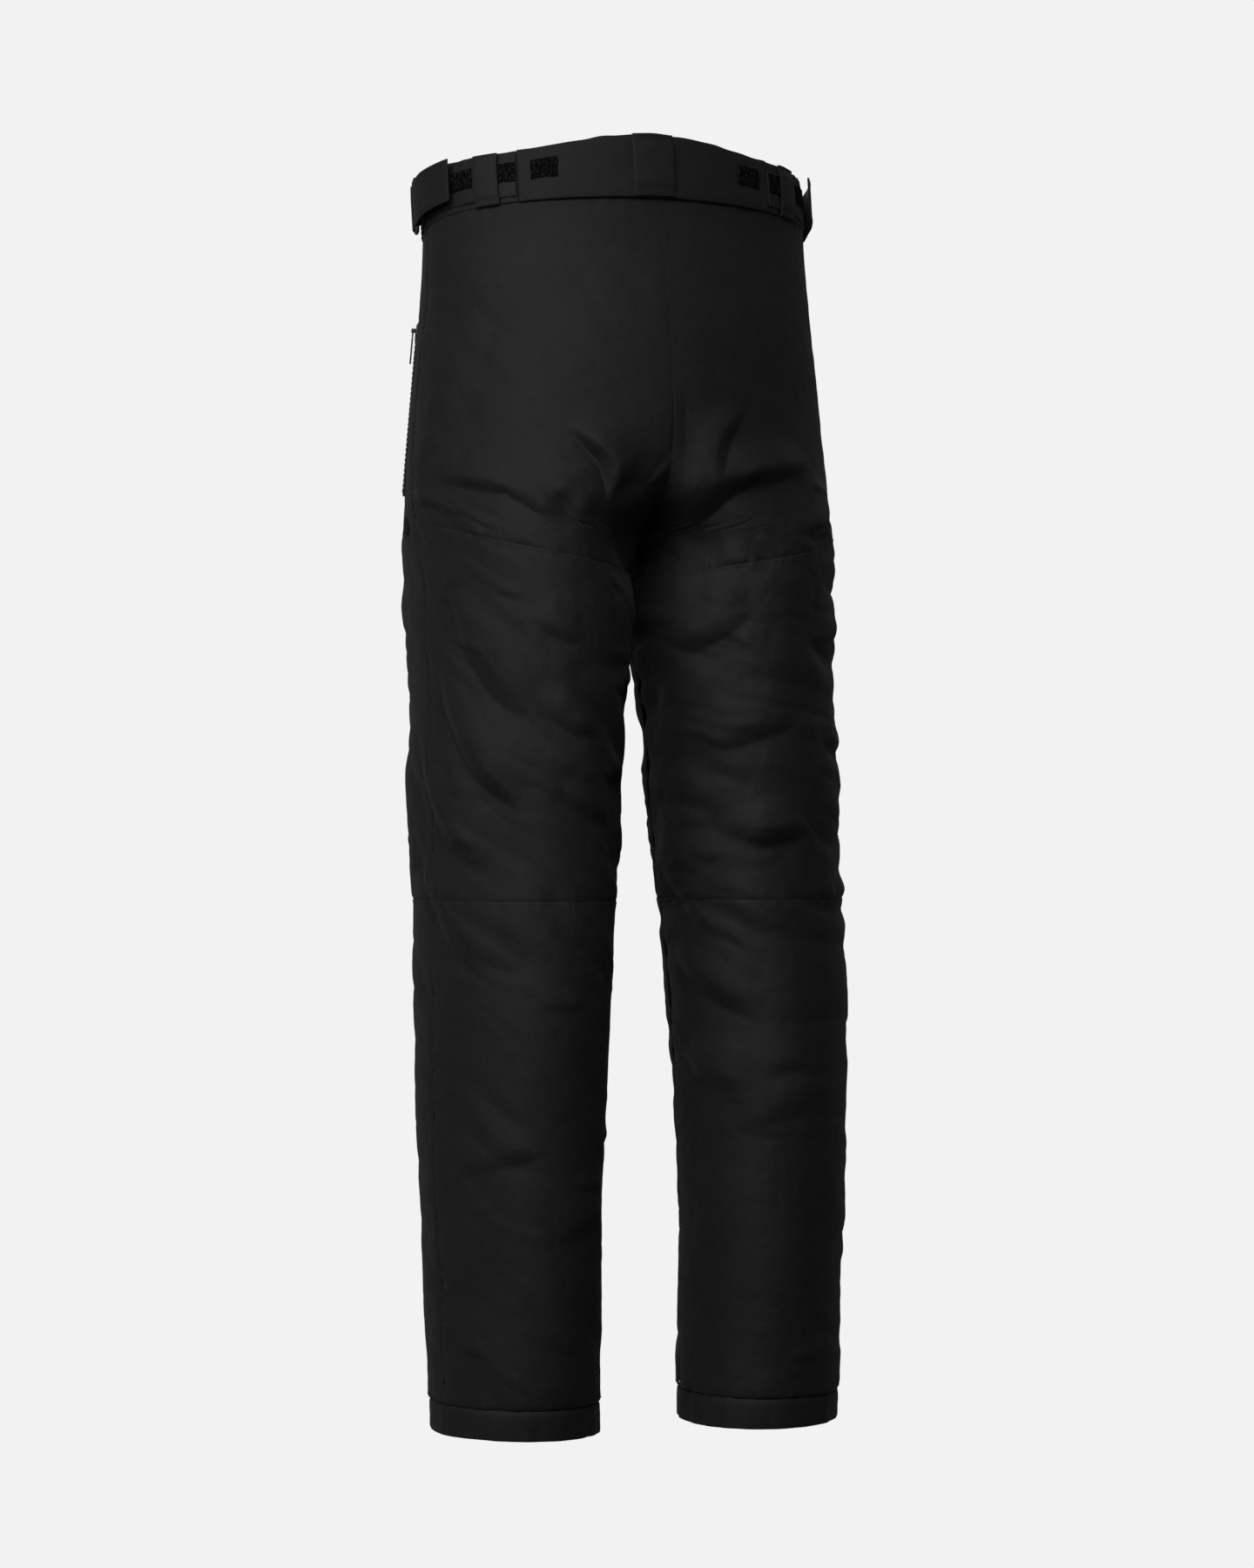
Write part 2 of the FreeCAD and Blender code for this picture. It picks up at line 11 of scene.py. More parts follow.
import bmesh
import bpy
import numpy as np
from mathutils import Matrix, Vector


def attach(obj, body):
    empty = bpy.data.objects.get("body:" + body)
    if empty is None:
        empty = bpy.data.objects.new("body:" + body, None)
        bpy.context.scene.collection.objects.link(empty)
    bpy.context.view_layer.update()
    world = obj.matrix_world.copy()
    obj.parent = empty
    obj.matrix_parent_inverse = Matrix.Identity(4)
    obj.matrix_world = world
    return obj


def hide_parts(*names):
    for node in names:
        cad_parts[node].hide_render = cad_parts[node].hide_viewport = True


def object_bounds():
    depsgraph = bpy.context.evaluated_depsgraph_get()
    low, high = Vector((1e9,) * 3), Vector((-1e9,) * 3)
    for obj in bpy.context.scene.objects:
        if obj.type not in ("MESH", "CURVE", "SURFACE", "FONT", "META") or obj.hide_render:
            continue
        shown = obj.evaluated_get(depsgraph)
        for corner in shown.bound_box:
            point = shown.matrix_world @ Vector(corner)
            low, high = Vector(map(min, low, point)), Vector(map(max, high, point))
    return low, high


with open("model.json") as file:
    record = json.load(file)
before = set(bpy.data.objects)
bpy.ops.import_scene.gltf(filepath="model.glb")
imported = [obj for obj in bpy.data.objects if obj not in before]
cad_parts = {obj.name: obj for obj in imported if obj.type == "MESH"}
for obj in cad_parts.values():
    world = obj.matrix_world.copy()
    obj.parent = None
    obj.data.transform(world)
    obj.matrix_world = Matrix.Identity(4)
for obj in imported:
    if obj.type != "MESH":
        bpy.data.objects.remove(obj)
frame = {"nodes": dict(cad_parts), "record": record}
cad_low, cad_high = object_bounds()

MM = 0.001
LEFT = "left"
RIGHT = "right"
SIDES = (LEFT, RIGHT)
MIRROR = {LEFT: 1, RIGHT: -1}

# ---- the same driving dimensions as the frame's ---------------------------------

WAIST_HALF_WIDTH = 166.0
WAIST_HALF_DEPTH = 115.0
BAND_HEIGHT = 52.0
BAND_TILT = math.radians(8.5)
BAND_BASE = -51.7
WAIST_SEAM_HALF_DEPTH = 114.0
CROTCH_Z = -300.0
KNEE_Z = -606.0
HEM_Z = -1043.0
HEM_HEIGHT = 26.0
THIGH_SEAM_Z = -290.0
THIGH_SEAM_DROP = 48.0
LEG_TOE_OUT = 10.0

# height, centre x, centre y, half width, half depth, toe-out in degrees
SECTIONS = np.array([
    (40.0, 0.0, 0.0, 165.0, 112.0, 0.0),
    (-BAND_HEIGHT, 0.0, 0.0, WAIST_HALF_WIDTH, WAIST_SEAM_HALF_DEPTH, 0.0),
    (-120.0, 0.0, 1.0, 169.0, 129.0, 0.0),
    (-190.0, 4.0, 2.0, 172.0, 137.0, 0.0),
    (-235.0, 24.0, 3.0, 155.0, 137.0, 0.0),
    (-268.0, 58.0, 5.0, 122.5, 134.0, 1.5),
    (CROTCH_Z, 90.5, 9.0, 90.5, 130.0, 3.5),
    (-350.0, 93.0, 19.0, 87.0, 124.0, 6.5),
    (-430.0, 97.0, 29.0, 82.5, 117.0, 9.0),
    (-520.0, 101.0, 35.0, 80.5, 111.0, LEG_TOE_OUT),
    (KNEE_Z, 105.0, 43.0, 77.0, 105.5, LEG_TOE_OUT),
    (-690.0, 108.5, 50.0, 74.5, 102.5, LEG_TOE_OUT),
    (-805.0, 110.5, 54.0, 71.0, 97.0, LEG_TOE_OUT),
    (-920.0, 109.5, 56.0, 68.0, 90.0, LEG_TOE_OUT),
    (HEM_Z, 107.5, 54.0, 67.0, 80.0, LEG_TOE_OUT),
    (HEM_Z - 30.0, 107.0, 53.5, 66.5, 77.5, LEG_TOE_OUT),
])


class Family(NamedTuple):
    """Folds that repeat down the cloth, sizes in millimetres and turns in degrees."""

    start: tuple  # degrees round the leg from the side seam towards the back, height
    step: tuple  # from one fold to the next, the same two
    count: int
    heading: float  # 0 is level towards the inside leg, 90 is up, 180 is level outwards
    fan: float = 0.0  # change of heading from one fold to the next
    length: float = 80.0
    bend: float = 0.0  # change of heading along the fold
    depth: float = 4.0
    width: float = 10.0


# Where worn trousers fold: out from the crotch, down from the hip, across the
# back of the thigh, at the knee and on the lower leg.
FRONT_FAMILIES = (
    Family((-120, -285), (10, 20), 3, heading=30, length=70, depth=4.5),
    Family((-150, -590), (15, 22), 3, heading=-8, length=110, depth=3.5, width=13),
    Family((-130, -780), (20, -110), 2, heading=-12, length=90, depth=2.0, width=13),
)
FAMILIES = {
    LEFT: (
        Family((106, -278), (-4, 0), 2, heading=108, fan=24, length=90, bend=20, depth=7.5, width=9),
        Family((100, -305), (-22, 12), 3, heading=150, fan=8, length=80, bend=35, depth=5.5, width=10),
        Family((5, -290), (0, 35), 3, heading=50, length=120, depth=2.4, width=20),
        Family((15, -340), (-8, -70), 4, heading=-52, length=150, bend=25, depth=7.5, width=18),
        Family((60, -370), (8, -70), 3, heading=-25, length=80, bend=15, depth=4.0, width=11),
        Family((110, -430), (-5, -75), 2, heading=8, length=60, depth=3.5),
        Family((15, -830), (60, -50), 2, heading=14, length=90, bend=-30, depth=2.2, width=14),
    ),
    RIGHT: (
        Family((100, -250), (-3, -12), 2, heading=112, fan=25, length=85, bend=15, depth=6.5, width=10),
        Family((130, -300), (-35, 30), 2, heading=162, length=130, bend=20, depth=8.0, width=13),
        Family((75, -300), (-12, -85), 3, heading=160, fan=12, length=90, bend=-20, depth=4.5, width=13),
        Family((140, -410), (-12, -75), 3, heading=158, fan=6, length=120, bend=25, depth=5.5, width=15),
        Family((168, -560), (-5, -85), 3, heading=215, fan=-12, length=110, depth=5.0, width=16),
        Family((120, -790), (-60, -90), 2, heading=170, bend=25, length=100, depth=2.2, width=14),
    ),
}
FOLD_STEPS = 5
LEAN = {LEFT: math.radians(36), RIGHT: math.radians(-8)}  # of the uneven folds between them
# height from and to, how many folds and how deep
SMALL_FOLD_ZONES = (
    (-245, -320, 8, 2.2),
    (-320, -620, 26, 2.0),
    (-620, -760, 8, 1.7),
    (-760, -1010, 10, 1.5),
)
FOLD_SEEDS = {LEFT: 7, RIGHT: 19}
CLOTH_SEEDS = {LEFT: 11, RIGHT: 23}
PANEL_SEEDS = {LEFT: 45, RIGHT: 40}
INNER_BULGE = (9.0, -312.0, 28.0)  # of the thighs below the crotch: how far, height, half height

GRID = 2.4  # size of the outer cloth's faces
BACK_RISE = 4.6  # the worn band sits this much higher round the back
BACK_STRETCH = 2.0  # and is this much taller at the centre back
SIDE_GATHER = 7.5  # and this much lower over the elastic
HEM_EDGE_RADIUS = 1.6
TUCK = 4.0  # cloth of the panels that goes up behind the waistband
NOISE_CELLS = 64
PANEL_FILL = 0.15
CLOTH_FILL = 0.1
PATCH_FILL = 0.2


# ---- smooth curves and noise ------------------------------------------------------


def natural_spline(x, y):
    """A smooth function through points with rising x."""
    count = len(x)
    step = np.diff(x)
    matrix = np.eye(count)
    right = np.zeros(count)
    slope = np.diff(y) / step
    for i in range(1, count - 1):
        matrix[i, i - 1 : i + 2] = step[i - 1], 2 * (step[i - 1] + step[i]), step[i]
        right[i] = 6 * (slope[i] - slope[i - 1])
    bend = np.linalg.solve(matrix, right)

    def value(at):
        at = np.asarray(at, float)
        i = np.clip(np.searchsorted(x, at) - 1, 0, count - 2)
        a = (x[i + 1] - at) / step[i]
        b = (at - x[i]) / step[i]
        curve = (a**3 - a) * bend[i] + (b**3 - b) * bend[i + 1]
        return a * y[i] + b * y[i + 1] + curve * step[i] ** 2 / 6

    return value


def smooth_step(value):
    """0 below 0 and 1 above 1, with a soft change between them."""
    value = np.clip(value, 0, 1)
    return value * value * (3 - 2 * value)


def bell(value):
    """1 at 0, falling away softly on both sides."""
    return np.exp(-(value**2))


def value_noise(x, y, seed):
    """Smooth noise between -1 and 1 that repeats every NOISE_CELLS cells."""
    lattice = np.random.default_rng(seed).uniform(-1, 1, (NOISE_CELLS, NOISE_CELLS))
    column, row = np.floor(x).astype(int), np.floor(y).astype(int)
    share_x, share_y = smooth_step(x - column), smooth_step(y - row)

    def along_row(number):
        near = lattice[column % NOISE_CELLS, number % NOISE_CELLS]
        far = lattice[(column + 1) % NOISE_CELLS, number % NOISE_CELLS]
        return near * (1 - share_x) + far * share_x

    return along_row(row) * (1 - share_y) + along_row(row + 1) * share_y


def unit(vectors):
    """One or more vectors, scaled to a length of 1."""
    return vectors / np.linalg.norm(vectors, axis=-1, keepdims=True)


def travelled_along(line):
    """How far along a line each of its points lies."""
    return np.concatenate([[0], np.cumsum(np.linalg.norm(np.diff(line, axis=0), axis=1))])


# ---- the trousers' surface ------------------------------------------------------------

SECTION_CURVES = [
    natural_spline(SECTIONS[::-1, 0], SECTIONS[::-1, column]) for column in range(1, 6)
]


def section(z):
    """Centre x and y, half width, half depth and toe-out of the leg at a height."""
    x, y, half_width, half_depth, toe = [curve(z) for curve in SECTION_CURVES]
    return x, y, half_width, half_depth, np.radians(toe)


def toed_out(x, y, across, along, toe):
    """Where a point of a section goes when the section is turned about its centre."""
    px = x + across * np.cos(toe) - along * np.sin(toe)
    py = y + across * np.sin(toe) + along * np.cos(toe)
    return px, py


def ellipse_x(angle, z):
    """How far a point of the left leg's section is from the middle plane."""
    x, y, half_width, half_depth, toe = section(z)
    px, _ = toed_out(x, y, half_width * np.cos(angle), half_depth * np.sin(angle), toe)
    return px


def last_angle(z, way):
    """The angle where the section meets the middle plane, or the inside leg below it."""
    low = np.full(np.shape(z), math.pi / 2)
    high = np.full(np.shape(z), math.pi)
    for _ in range(30):
        middle = (low + high) / 2
        outside = ellipse_x(way * middle, z) > 0
        low, high = np.where(outside, middle, low), np.where(outside, high, middle)
    return low


def surface(side, angle, z, offset):
    """Points of the cloth at angles round the leg, heights and offsets outwards."""
    x, y, half_width, half_depth, toe = section(z)
    normal_x = np.cos(angle) / half_width
    normal_y = np.sin(angle) / half_depth
    size = np.hypot(normal_x, normal_y)
    across = half_width * np.cos(angle) + offset * normal_x / size
    along = half_depth * np.sin(angle) + offset * normal_y / size
    px, py = toed_out(x, y, across, along, toe)
    px = np.maximum(px, 0)  # the two halves meet at the middle
    return np.stack([MIRROR[side] * px, py, z], -1)


def mean_radius(z):
    """The leg's mean radius, which turns angles into lengths round it."""
    _, _, half_width, half_depth, _ = section(z)
    return np.sqrt((half_width**2 + half_depth**2) / 2)


def fold_line(degrees, height, heading, length, bend):
    """Points (degrees, height) along a fold that turns evenly by its bend."""
    radius = float(mean_radius(height))
    points = [(degrees, height)]
    for index in range(FOLD_STEPS):
        way = math.radians(heading + bend * (index / (FOLD_STEPS - 1) - 0.5))
        degrees += math.degrees(length / FOLD_STEPS * math.cos(way) / radius)
        height += length / FOLD_STEPS * math.sin(way)
        points.append((degrees, height))
    return points


def fold_family(family, random):
    """The folds of one family, each a little unlike the last."""
    folds = []
    for index in range(family.count):
        degrees = family.start[0] + family.step[0] * index + random.uniform(-5, 5)
        height = family.start[1] + family.step[1] * index + random.uniform(-6, 6)
        heading = family.heading + family.fan * index + random.uniform(-7, 7)
        length = family.length * random.uniform(0.75, 1.15)
        line = fold_line(degrees, height, heading, length, family.bend)
        width = family.width * random.uniform(0.85, 1.15)
        folds.append((line, family.depth * random.uniform(0.7, 1.1), width))
    return folds


def fold_profile(near):
    """A fold's height across it: a soft roll whose face drops to a sharp valley."""
    down = np.clip(-near, 0, 1)
    roll = bell(np.clip(near, 0, None) / 1.5)
    face = 1 - 1.45 * down**1.4
    below = -0.45 * np.exp(1.1 * np.clip(near + 1, None, 0))
    return np.where(near >= 0, roll, np.where(near > -1, face, below))


def add_fold(offset, angle, z, points, depth, width):
    """Adds one fold along a line of points (degrees, height) to the cloth's offsets."""
    radius = float(mean_radius(np.mean([height for _, height in points])))
    line = [(math.radians(degrees) * radius, height) for degrees, height in points]
    reach = 5 * width
    run = angle * radius
    xs, zs = zip(*line)
    up = 1.0 if xs[-1] >= xs[0] else -1.0
    inside = (run > min(xs) - reach) & (run < max(xs) + reach)
    inside &= (z > min(zs) - reach) & (z < max(zs) + reach)
    run, high = run[inside], z[inside]
    lengths = [math.dist(a, b) for a, b in zip(line, line[1:])]
    best = np.full(run.shape, 1e9)
    signed = np.zeros(run.shape)
    share = np.zeros(run.shape)
    passed = 0.0
    for (ax, az), (bx, bz), length in zip(line, line[1:], lengths):
        dx, dz = (bx - ax) / length, (bz - az) / length
        px, pz = run - ax, high - az
        along = np.clip(px * dx + pz * dz, 0, length)
        away = np.hypot(px - along * dx, pz - along * dz)
        nearer = away < best
        best = np.where(nearer, away, best)
        signed = np.where(nearer, up * (pz * dx - px * dz), signed)
        share = np.where(nearer, (passed + along) / sum(lengths), share)
        passed += length
    taper = smooth_step(share * 2.6) * smooth_step((1 - share) * 2.6)
    near = np.where(signed >= 0, best, -best) / (width * (0.45 + 0.55 * taper))
    offset[inside] += depth * taper * fold_profile(near)


def small_folds(side, random):
    """The many small folds between the main ones, busiest round the crotch and knee."""
    lean = -MIRROR[side]
    folds = []
    for high, low, count, depth in SMALL_FOLD_ZONES:
        for _ in range(count):
            height = random.uniform(low, high)
            middle = random.uniform(-170, 170)
            half = random.uniform(7, 22)
            drop = lean * random.uniform(-0.1, 0.75) * half
            bow = random.uniform(-5, 7)
            first = (middle - half, height - drop)
            last = (middle + half, height + drop)
            points = [first, (middle, height + bow), last]
            folds.append((points, depth * random.uniform(0.35, 0.9), random.uniform(5.0, 10.0)))
    return folds


def all_folds(side):
    """Every fold of one half's cloth: its points, depth and width."""
    random = np.random.default_rng(FOLD_SEEDS[side])
    folds = small_folds(side, random)
    for family in FAMILIES[side] + FRONT_FAMILIES:
        folds += fold_family(family, random)
    return folds


def slanting_folds(along, z, lean, seed):
    """Uneven folds with round tops and narrow valleys, all leaning one way."""
    warp = 14.0 * value_noise(along / 70.0, z / 70.0, seed + 9)
    way = along * math.cos(lean) - z * math.sin(lean)
    across = along * math.sin(lean) + z * math.cos(lean) + warp
    total = 0.0
    for length, pitch, height in ((85.0, 30.0, 5.0), (40.0, 13.0, 1.5)):
        wave = value_noise(way / length, across / pitch, seed + int(pitch))
        total = total + height * (np.sqrt(wave**2 + 0.004) - 0.35)
    return total


def seam_dip(distance, size):
    """How far the cloth sinks near a seam, at a distance from it."""
    return -size * (bell(distance / 1.5) + 0.4 * bell(distance / 7.0))


def puckers(distance, along, size, seed):
    """Small gathers across a seam, which fade away from it."""
    fine = value_noise(along / 3.4, distance / 30.0, seed)
    broad = value_noise(along / 8.0, distance / 30.0, seed + 1)
    return size * (fine + broad) * bell(distance / 8.0)


FOLDS = {side: all_folds(side) for side in SIDES}


def cloth_offset(side, angle, z):
    """Where the loose cloth lies, outwards from the frame's smooth surface."""
    seed = CLOTH_SEEDS[side]
    along = angle * mean_radius(z)
    thigh = smooth_step((-240 - z) / 70) * smooth_step((z + 720) / 130)
    shin = smooth_step((KNEE_Z - z) / 60)
    busy = 0.18 + 0.82 * thigh + 0.2 * shin * (1 - thigh)
    offset = 1.3 * value_noise(along / 60.0, z / 85.0, seed)
    offset += busy * slanting_folds(along, z, LEAN[side], seed + 1)
    inner_leg = smooth_step((np.abs(angle) - 2.2) / 0.5)
    bulge, bulge_z, half_height = INNER_BULGE
    offset += bulge * inner_leg * bell((z - bulge_z) / half_height)
    offset += 0.22 * value_noise(along / 9.0, z / 9.0 + along / 30.0, seed + 2)
    offset += 0.07 * value_noise(along / 4.0, z / 4.5, seed + 3)
    for points, depth, width in FOLDS[side]:
        add_fold(offset, angle, z, points, depth, width)
    return offset


def thigh_seam(angle):
    """Height of the seam across the back of the thigh."""
    share = 1 - np.abs(angle) / math.pi
    return THIGH_SEAM_Z - THIGH_SEAM_DROP * (1 - share**2)


def band_rise(away):
    """How much higher the worn band's lower edge is, by degrees from the centre back."""
    return BACK_RISE * smooth_step((112 - away) / 32)


def band_stretch(away):
    """How much taller or lower the worn band is, by degrees from the centre back."""
    gathered_part = smooth_step(away / 42) * smooth_step((128 - away) / 24)
    back_part = smooth_step((42 - away) / 42)
    return BACK_STRETCH * back_part - SIDE_GATHER * gathered_part


def waist_seam(angle):
    """Height of the waistband's lower edge, and the cloth tucked in behind it."""
    away = 90 - np.degrees(angle)
    tilt = WAIST_SEAM_HALF_DEPTH * np.sin(angle) * math.tan(BAND_TILT)
    return -BAND_HEIGHT + tilt + band_rise(away) + TUCK


# ---- meshes -------------------------------------------------------------------------------


def make_mesh(name, points, faces, material, smooth=True):
    """An object from points in millimetres and faces."""
    mesh = bpy.data.meshes.new(name)
    mesh.from_pydata((np.asarray(points, float) * MM).tolist(), [], [list(f) for f in faces])
    mesh.validate()
    mesh.update()
    mesh.polygons.foreach_set("use_smooth", [smooth] * len(mesh.polygons))
    mesh.materials.append(material)
    made = bpy.data.objects.new(name, mesh)
    bpy.context.scene.collection.objects.link(made)
    return made


def grid_faces(rows, columns, around=False, flip=False):
    """Faces of a grid of points, whose last column joins the first if around."""
    wide = columns if around else columns - 1
    i, j = np.meshgrid(np.arange(rows - 1), np.arange(wide), indexing="ij")
    a = i * columns + j
    b = i * columns + (j + 1) % columns
    quads = np.stack([a, b, b + columns, a + columns], -1).reshape(-1, 4)
    return quads[:, ::-1] if flip else quads


def pocket_ditch(angle, z):
    """1 where the cloth lies under the hand pocket's zip, and 0 away from it."""
    share = np.clip((POCKET_TOP[2] - z) / (POCKET_TOP[2] - POCKET_BOTTOM[2]), 0, 1)
    x = POCKET_TOP[0] + share * (POCKET_BOTTOM[0] - POCKET_TOP[0])
    y = POCKET_TOP[1] + share * (POCKET_BOTTOM[1] - POCKET_TOP[1])
    middle_x, middle_y, half_width, half_depth, _ = section(z)
    zip_angle = np.arctan2((y - middle_y) / half_depth, (x - middle_x) / half_width)
    aside = np.abs(angle - zip_angle) * mean_radius(z)
    long_way = smooth_step((POCKET_TOP[2] + 8 - z) / 6) * smooth_step((z - POCKET_BOTTOM[2] + 6) / 6)
    return smooth_step((14 - aside) / 5) * long_way


def fly_ditch(to_end, z):
    """1 where the cloth lies under the fly's zip, and 0 away from it."""
    long_way = smooth_step((FLY_TOP[2] + 10 - z) / 6) * smooth_step((z - FLY_BOTTOM[2] + 8) / 6)
    return smooth_step((14 - to_end) / 5) * long_way


def panel_offset(side, way, angle, z, lower, upper):
    """Where a panel's cloth lies: loose in the middle and pulled in at its seams."""
    radius = mean_radius(z)
    arc_length = np.abs(angle) * radius
    to_end = (last_angle(z, way) - np.abs(angle)) * radius
    to_lower = z - lower(angle)
    to_upper = upper(angle) - z
    waist = upper is waist_seam
    seed = PANEL_SEEDS[side] + way
    offset = cloth_offset(side, angle, z)
    edges = [(arc_length, z, 0.8), (to_end, z, 0.7), (to_lower, arc_length, 0.7)]
    if not waist:
        edges.append((to_upper, arc_length, 0.7))
    for number, (distance, along, size) in enumerate(edges):
        offset = offset + seam_dip(distance, size)
        offset = offset + puckers(distance, along, 0.5 * size, seed + number * 7)
    middle = smooth_step(to_end / 28.0)
    offset = offset * np.where(z > -295, 0.2 + 0.8 * middle, 1.0)
    if waist and way < 0:
        ditch = np.maximum(pocket_ditch(angle, z), fly_ditch(to_end, z))
        offset = offset * (1 - ditch) - 2.2 * ditch
    if waist:
        below = to_upper - TUCK
        offset = offset * (0.15 + 0.85 * smooth_step(below / 60.0))
        ripple = 0.4 * value_noise(arc_length / 7.0, z / 40.0, seed + 50)
        offset = offset + ripple * np.exp(-np.abs(below) / 9.0)
        offset = offset - 0.7 * smooth_step(0.15 - below / 3.4)
    return offset


def close_middle(points):
    """Draws a panel's last column onto the middle plane above the crotch, to meet its pair."""
    away = np.linalg.norm(points - points[:, -1:], axis=-1)
    share = smooth_step((points[..., 2] - CROTCH_Z + 4) / 6.0) * bell(away / 5.0)
    points[..., 0] -= points[:, -1:, 0] * share


def panel(name, side, way, lower, upper, node):
    """One cloth panel between two seams, from the side seam to the middle or inside leg.

    way is 1 for the back and -1 for the front. lower and upper are functions of the
    angle that give the seams' heights.
    """
    middle = (lower(math.pi / 2) + upper(math.pi / 2)) / 2
    columns = int(float(mean_radius(middle)) * math.pi / GRID) + 1
    rows = int((upper(math.pi / 2) - lower(math.pi / 2)) / GRID) + 2
    share, rise = np.meshgrid(np.linspace(0, 1, columns), np.linspace(0, 1, rows))
    z = np.full(share.shape, float(middle))
    for _ in range(6):
        angle = way * share * last_angle(z, way)
        z = lower(angle) + rise * (upper(angle) - lower(angle))
    offset = panel_offset(side, way, angle, z, lower, upper)
    points = surface(side, angle, z, offset)
    close_middle(points)
    flip = (way > 0) == (side == LEFT)
    made = make_mesh(name, points.reshape(-1, 3), grid_faces(rows, columns, flip=not flip), SHELL)
    finish_piece(made, "trousers", "shell_fabric", node, fill=PANEL_FILL)


def finish_piece(made, body, slot, *nodes, fill=None):
    """Puts a piece on its body and hides the nodes it stands for. How full a pad is (fill) is not used."""
    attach(made, body)
    if nodes:
        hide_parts(*nodes)


# ---- materials --------------------------------------------------------------------------------


class Nodes:
    """A short way to build one material's node tree."""

    def __init__(self, name):
        self.material = bpy.data.materials.new(name)
        self.material.use_nodes = True
        self.tree = self.material.node_tree
        self.shader = self.tree.nodes["Principled BSDF"]
        self.place = self.add("ShaderNodeTexCoord").outputs["Object"]

    def add(self, kind, **settings):
        node = self.tree.nodes.new(kind)
        for key, value in settings.items():
            setattr(node, key, value)
        return node

    def link(self, output, socket):
        self.tree.links.new(output, socket)

    def noise(self, scale, detail=2.0, stretch=None):
        node = self.add("ShaderNodeTexNoise")
        node.inputs["Scale"].default_value = scale
        node.inputs["Detail"].default_value = detail
        self.link(self.stretched(stretch), node.inputs["Vector"])
        return node.outputs["Fac"]

    def stretched(self, stretch):
        if stretch is None:
            return self.place
        mapping = self.add("ShaderNodeMapping")
        mapping.inputs["Scale"].default_value = stretch
        self.link(self.place, mapping.inputs["Vector"])
        return mapping.outputs["Vector"]

    def wave(self, scale, direction, distortion=0.0):
        node = self.add("ShaderNodeTexWave", bands_direction=direction)
        node.inputs["Scale"].default_value = scale
        node.inputs["Distortion"].default_value = distortion
        self.link(self.place, node.inputs["Vector"])
        return node.outputs["Fac"]

    def math(self, operation, first, second):
        node = self.add("ShaderNodeMath", operation=operation)
        for socket, value in zip(node.inputs, (first, second)):
            if isinstance(value, (int, float)):
                socket.default_value = value
            else:
                self.link(value, socket)
        return node.outputs["Value"]

    def ramp(self, factor, low, high):
        """A colour that runs from low to high with a factor."""
        node = self.add("ShaderNodeValToRGB")
        node.color_ramp.elements[0].color = (*low, 1)
        node.color_ramp.elements[1].color = (*high, 1)
        node.color_ramp.elements[0].position = 0.3
        node.color_ramp.elements[1].position = 0.7
        self.link(factor, node.inputs["Fac"])
        return node.outputs["Color"]

    def span(self, factor, low, high):
        """A number that runs from low to high with a factor."""
        node = self.add("ShaderNodeMapRange")
        node.inputs["To Min"].default_value = low
        node.inputs["To Max"].default_value = high
        self.link(factor, node.inputs["Value"])
        return node.outputs["Result"]

    def bump(self, height, strength, distance, below=None):
        node = self.add("ShaderNodeBump")
        node.inputs["Strength"].default_value = strength
        node.inputs["Distance"].default_value = distance
        self.link(height, node.inputs["Height"])
        if below is not None:
            self.link(below, node.inputs["Normal"])
        return node.outputs["Normal"]

    def set(self, **values):
        """Sets inputs of the shader, such as Roughness."""
        for key, value in values.items():
            self.shader.inputs[key.replace("_", " ")].default_value = value

    def feed(self, **outputs):
        """Links node outputs to inputs of the shader."""
        for key, output in outputs.items():
            self.link(output, self.shader.inputs[key.replace("_", " ")])


def wave_scale(pitch):
    """The wave texture's scale that is used for threads or ribs of a pitch in metres."""
    return 1 / pitch / 2 / math.pi * 3.1


def woven(name, dark, light, thread, sheen, rough, crumple=0.0):
    """Cloth: two crossing sets of threads, uneven dye and a soft sheen."""
    nodes = Nodes(name)
    warp, weft_x, weft_y = [nodes.wave(wave_scale(thread), axis, 0.6) for axis in "ZXY"]
    threads = nodes.math("ADD", warp, nodes.math("MULTIPLY", weft_x, weft_y))
    grain = nodes.noise(1 / thread * 0.9, 3.0)
    mottle = nodes.math("MULTIPLY", nodes.noise(22.0, 4.0), 0.25)
    slub = nodes.math("MULTIPLY", nodes.noise(160.0, 3.0, (1.0, 1.0, 7.0)), 0.2)
    speck = nodes.math("MULTIPLY", nodes.noise(560.0, 2.0), 0.55)
    shade = nodes.math("ADD", nodes.math("ADD", mottle, slub), speck)
    soft = nodes.bump(nodes.noise(60.0, 3.0), 0.25 + crumple, 0.002)
    fine = nodes.bump(threads, 0.35, 0.00018, soft)
    nodes.feed(
        Base_Color=nodes.ramp(shade, dark, light),
        Roughness=nodes.span(grain, rough - 0.08, rough + 0.08),
        Normal=nodes.bump(grain, 0.25, 0.0001, fine),
    )
    nodes.set(Sheen_Weight=sheen, Sheen_Roughness=0.45, Specular_IOR_Level=0.14)
    return nodes.material


def grey(value):
    """A neutral linear colour with a breath of warmth."""
    return (value, value, value * 1.02)


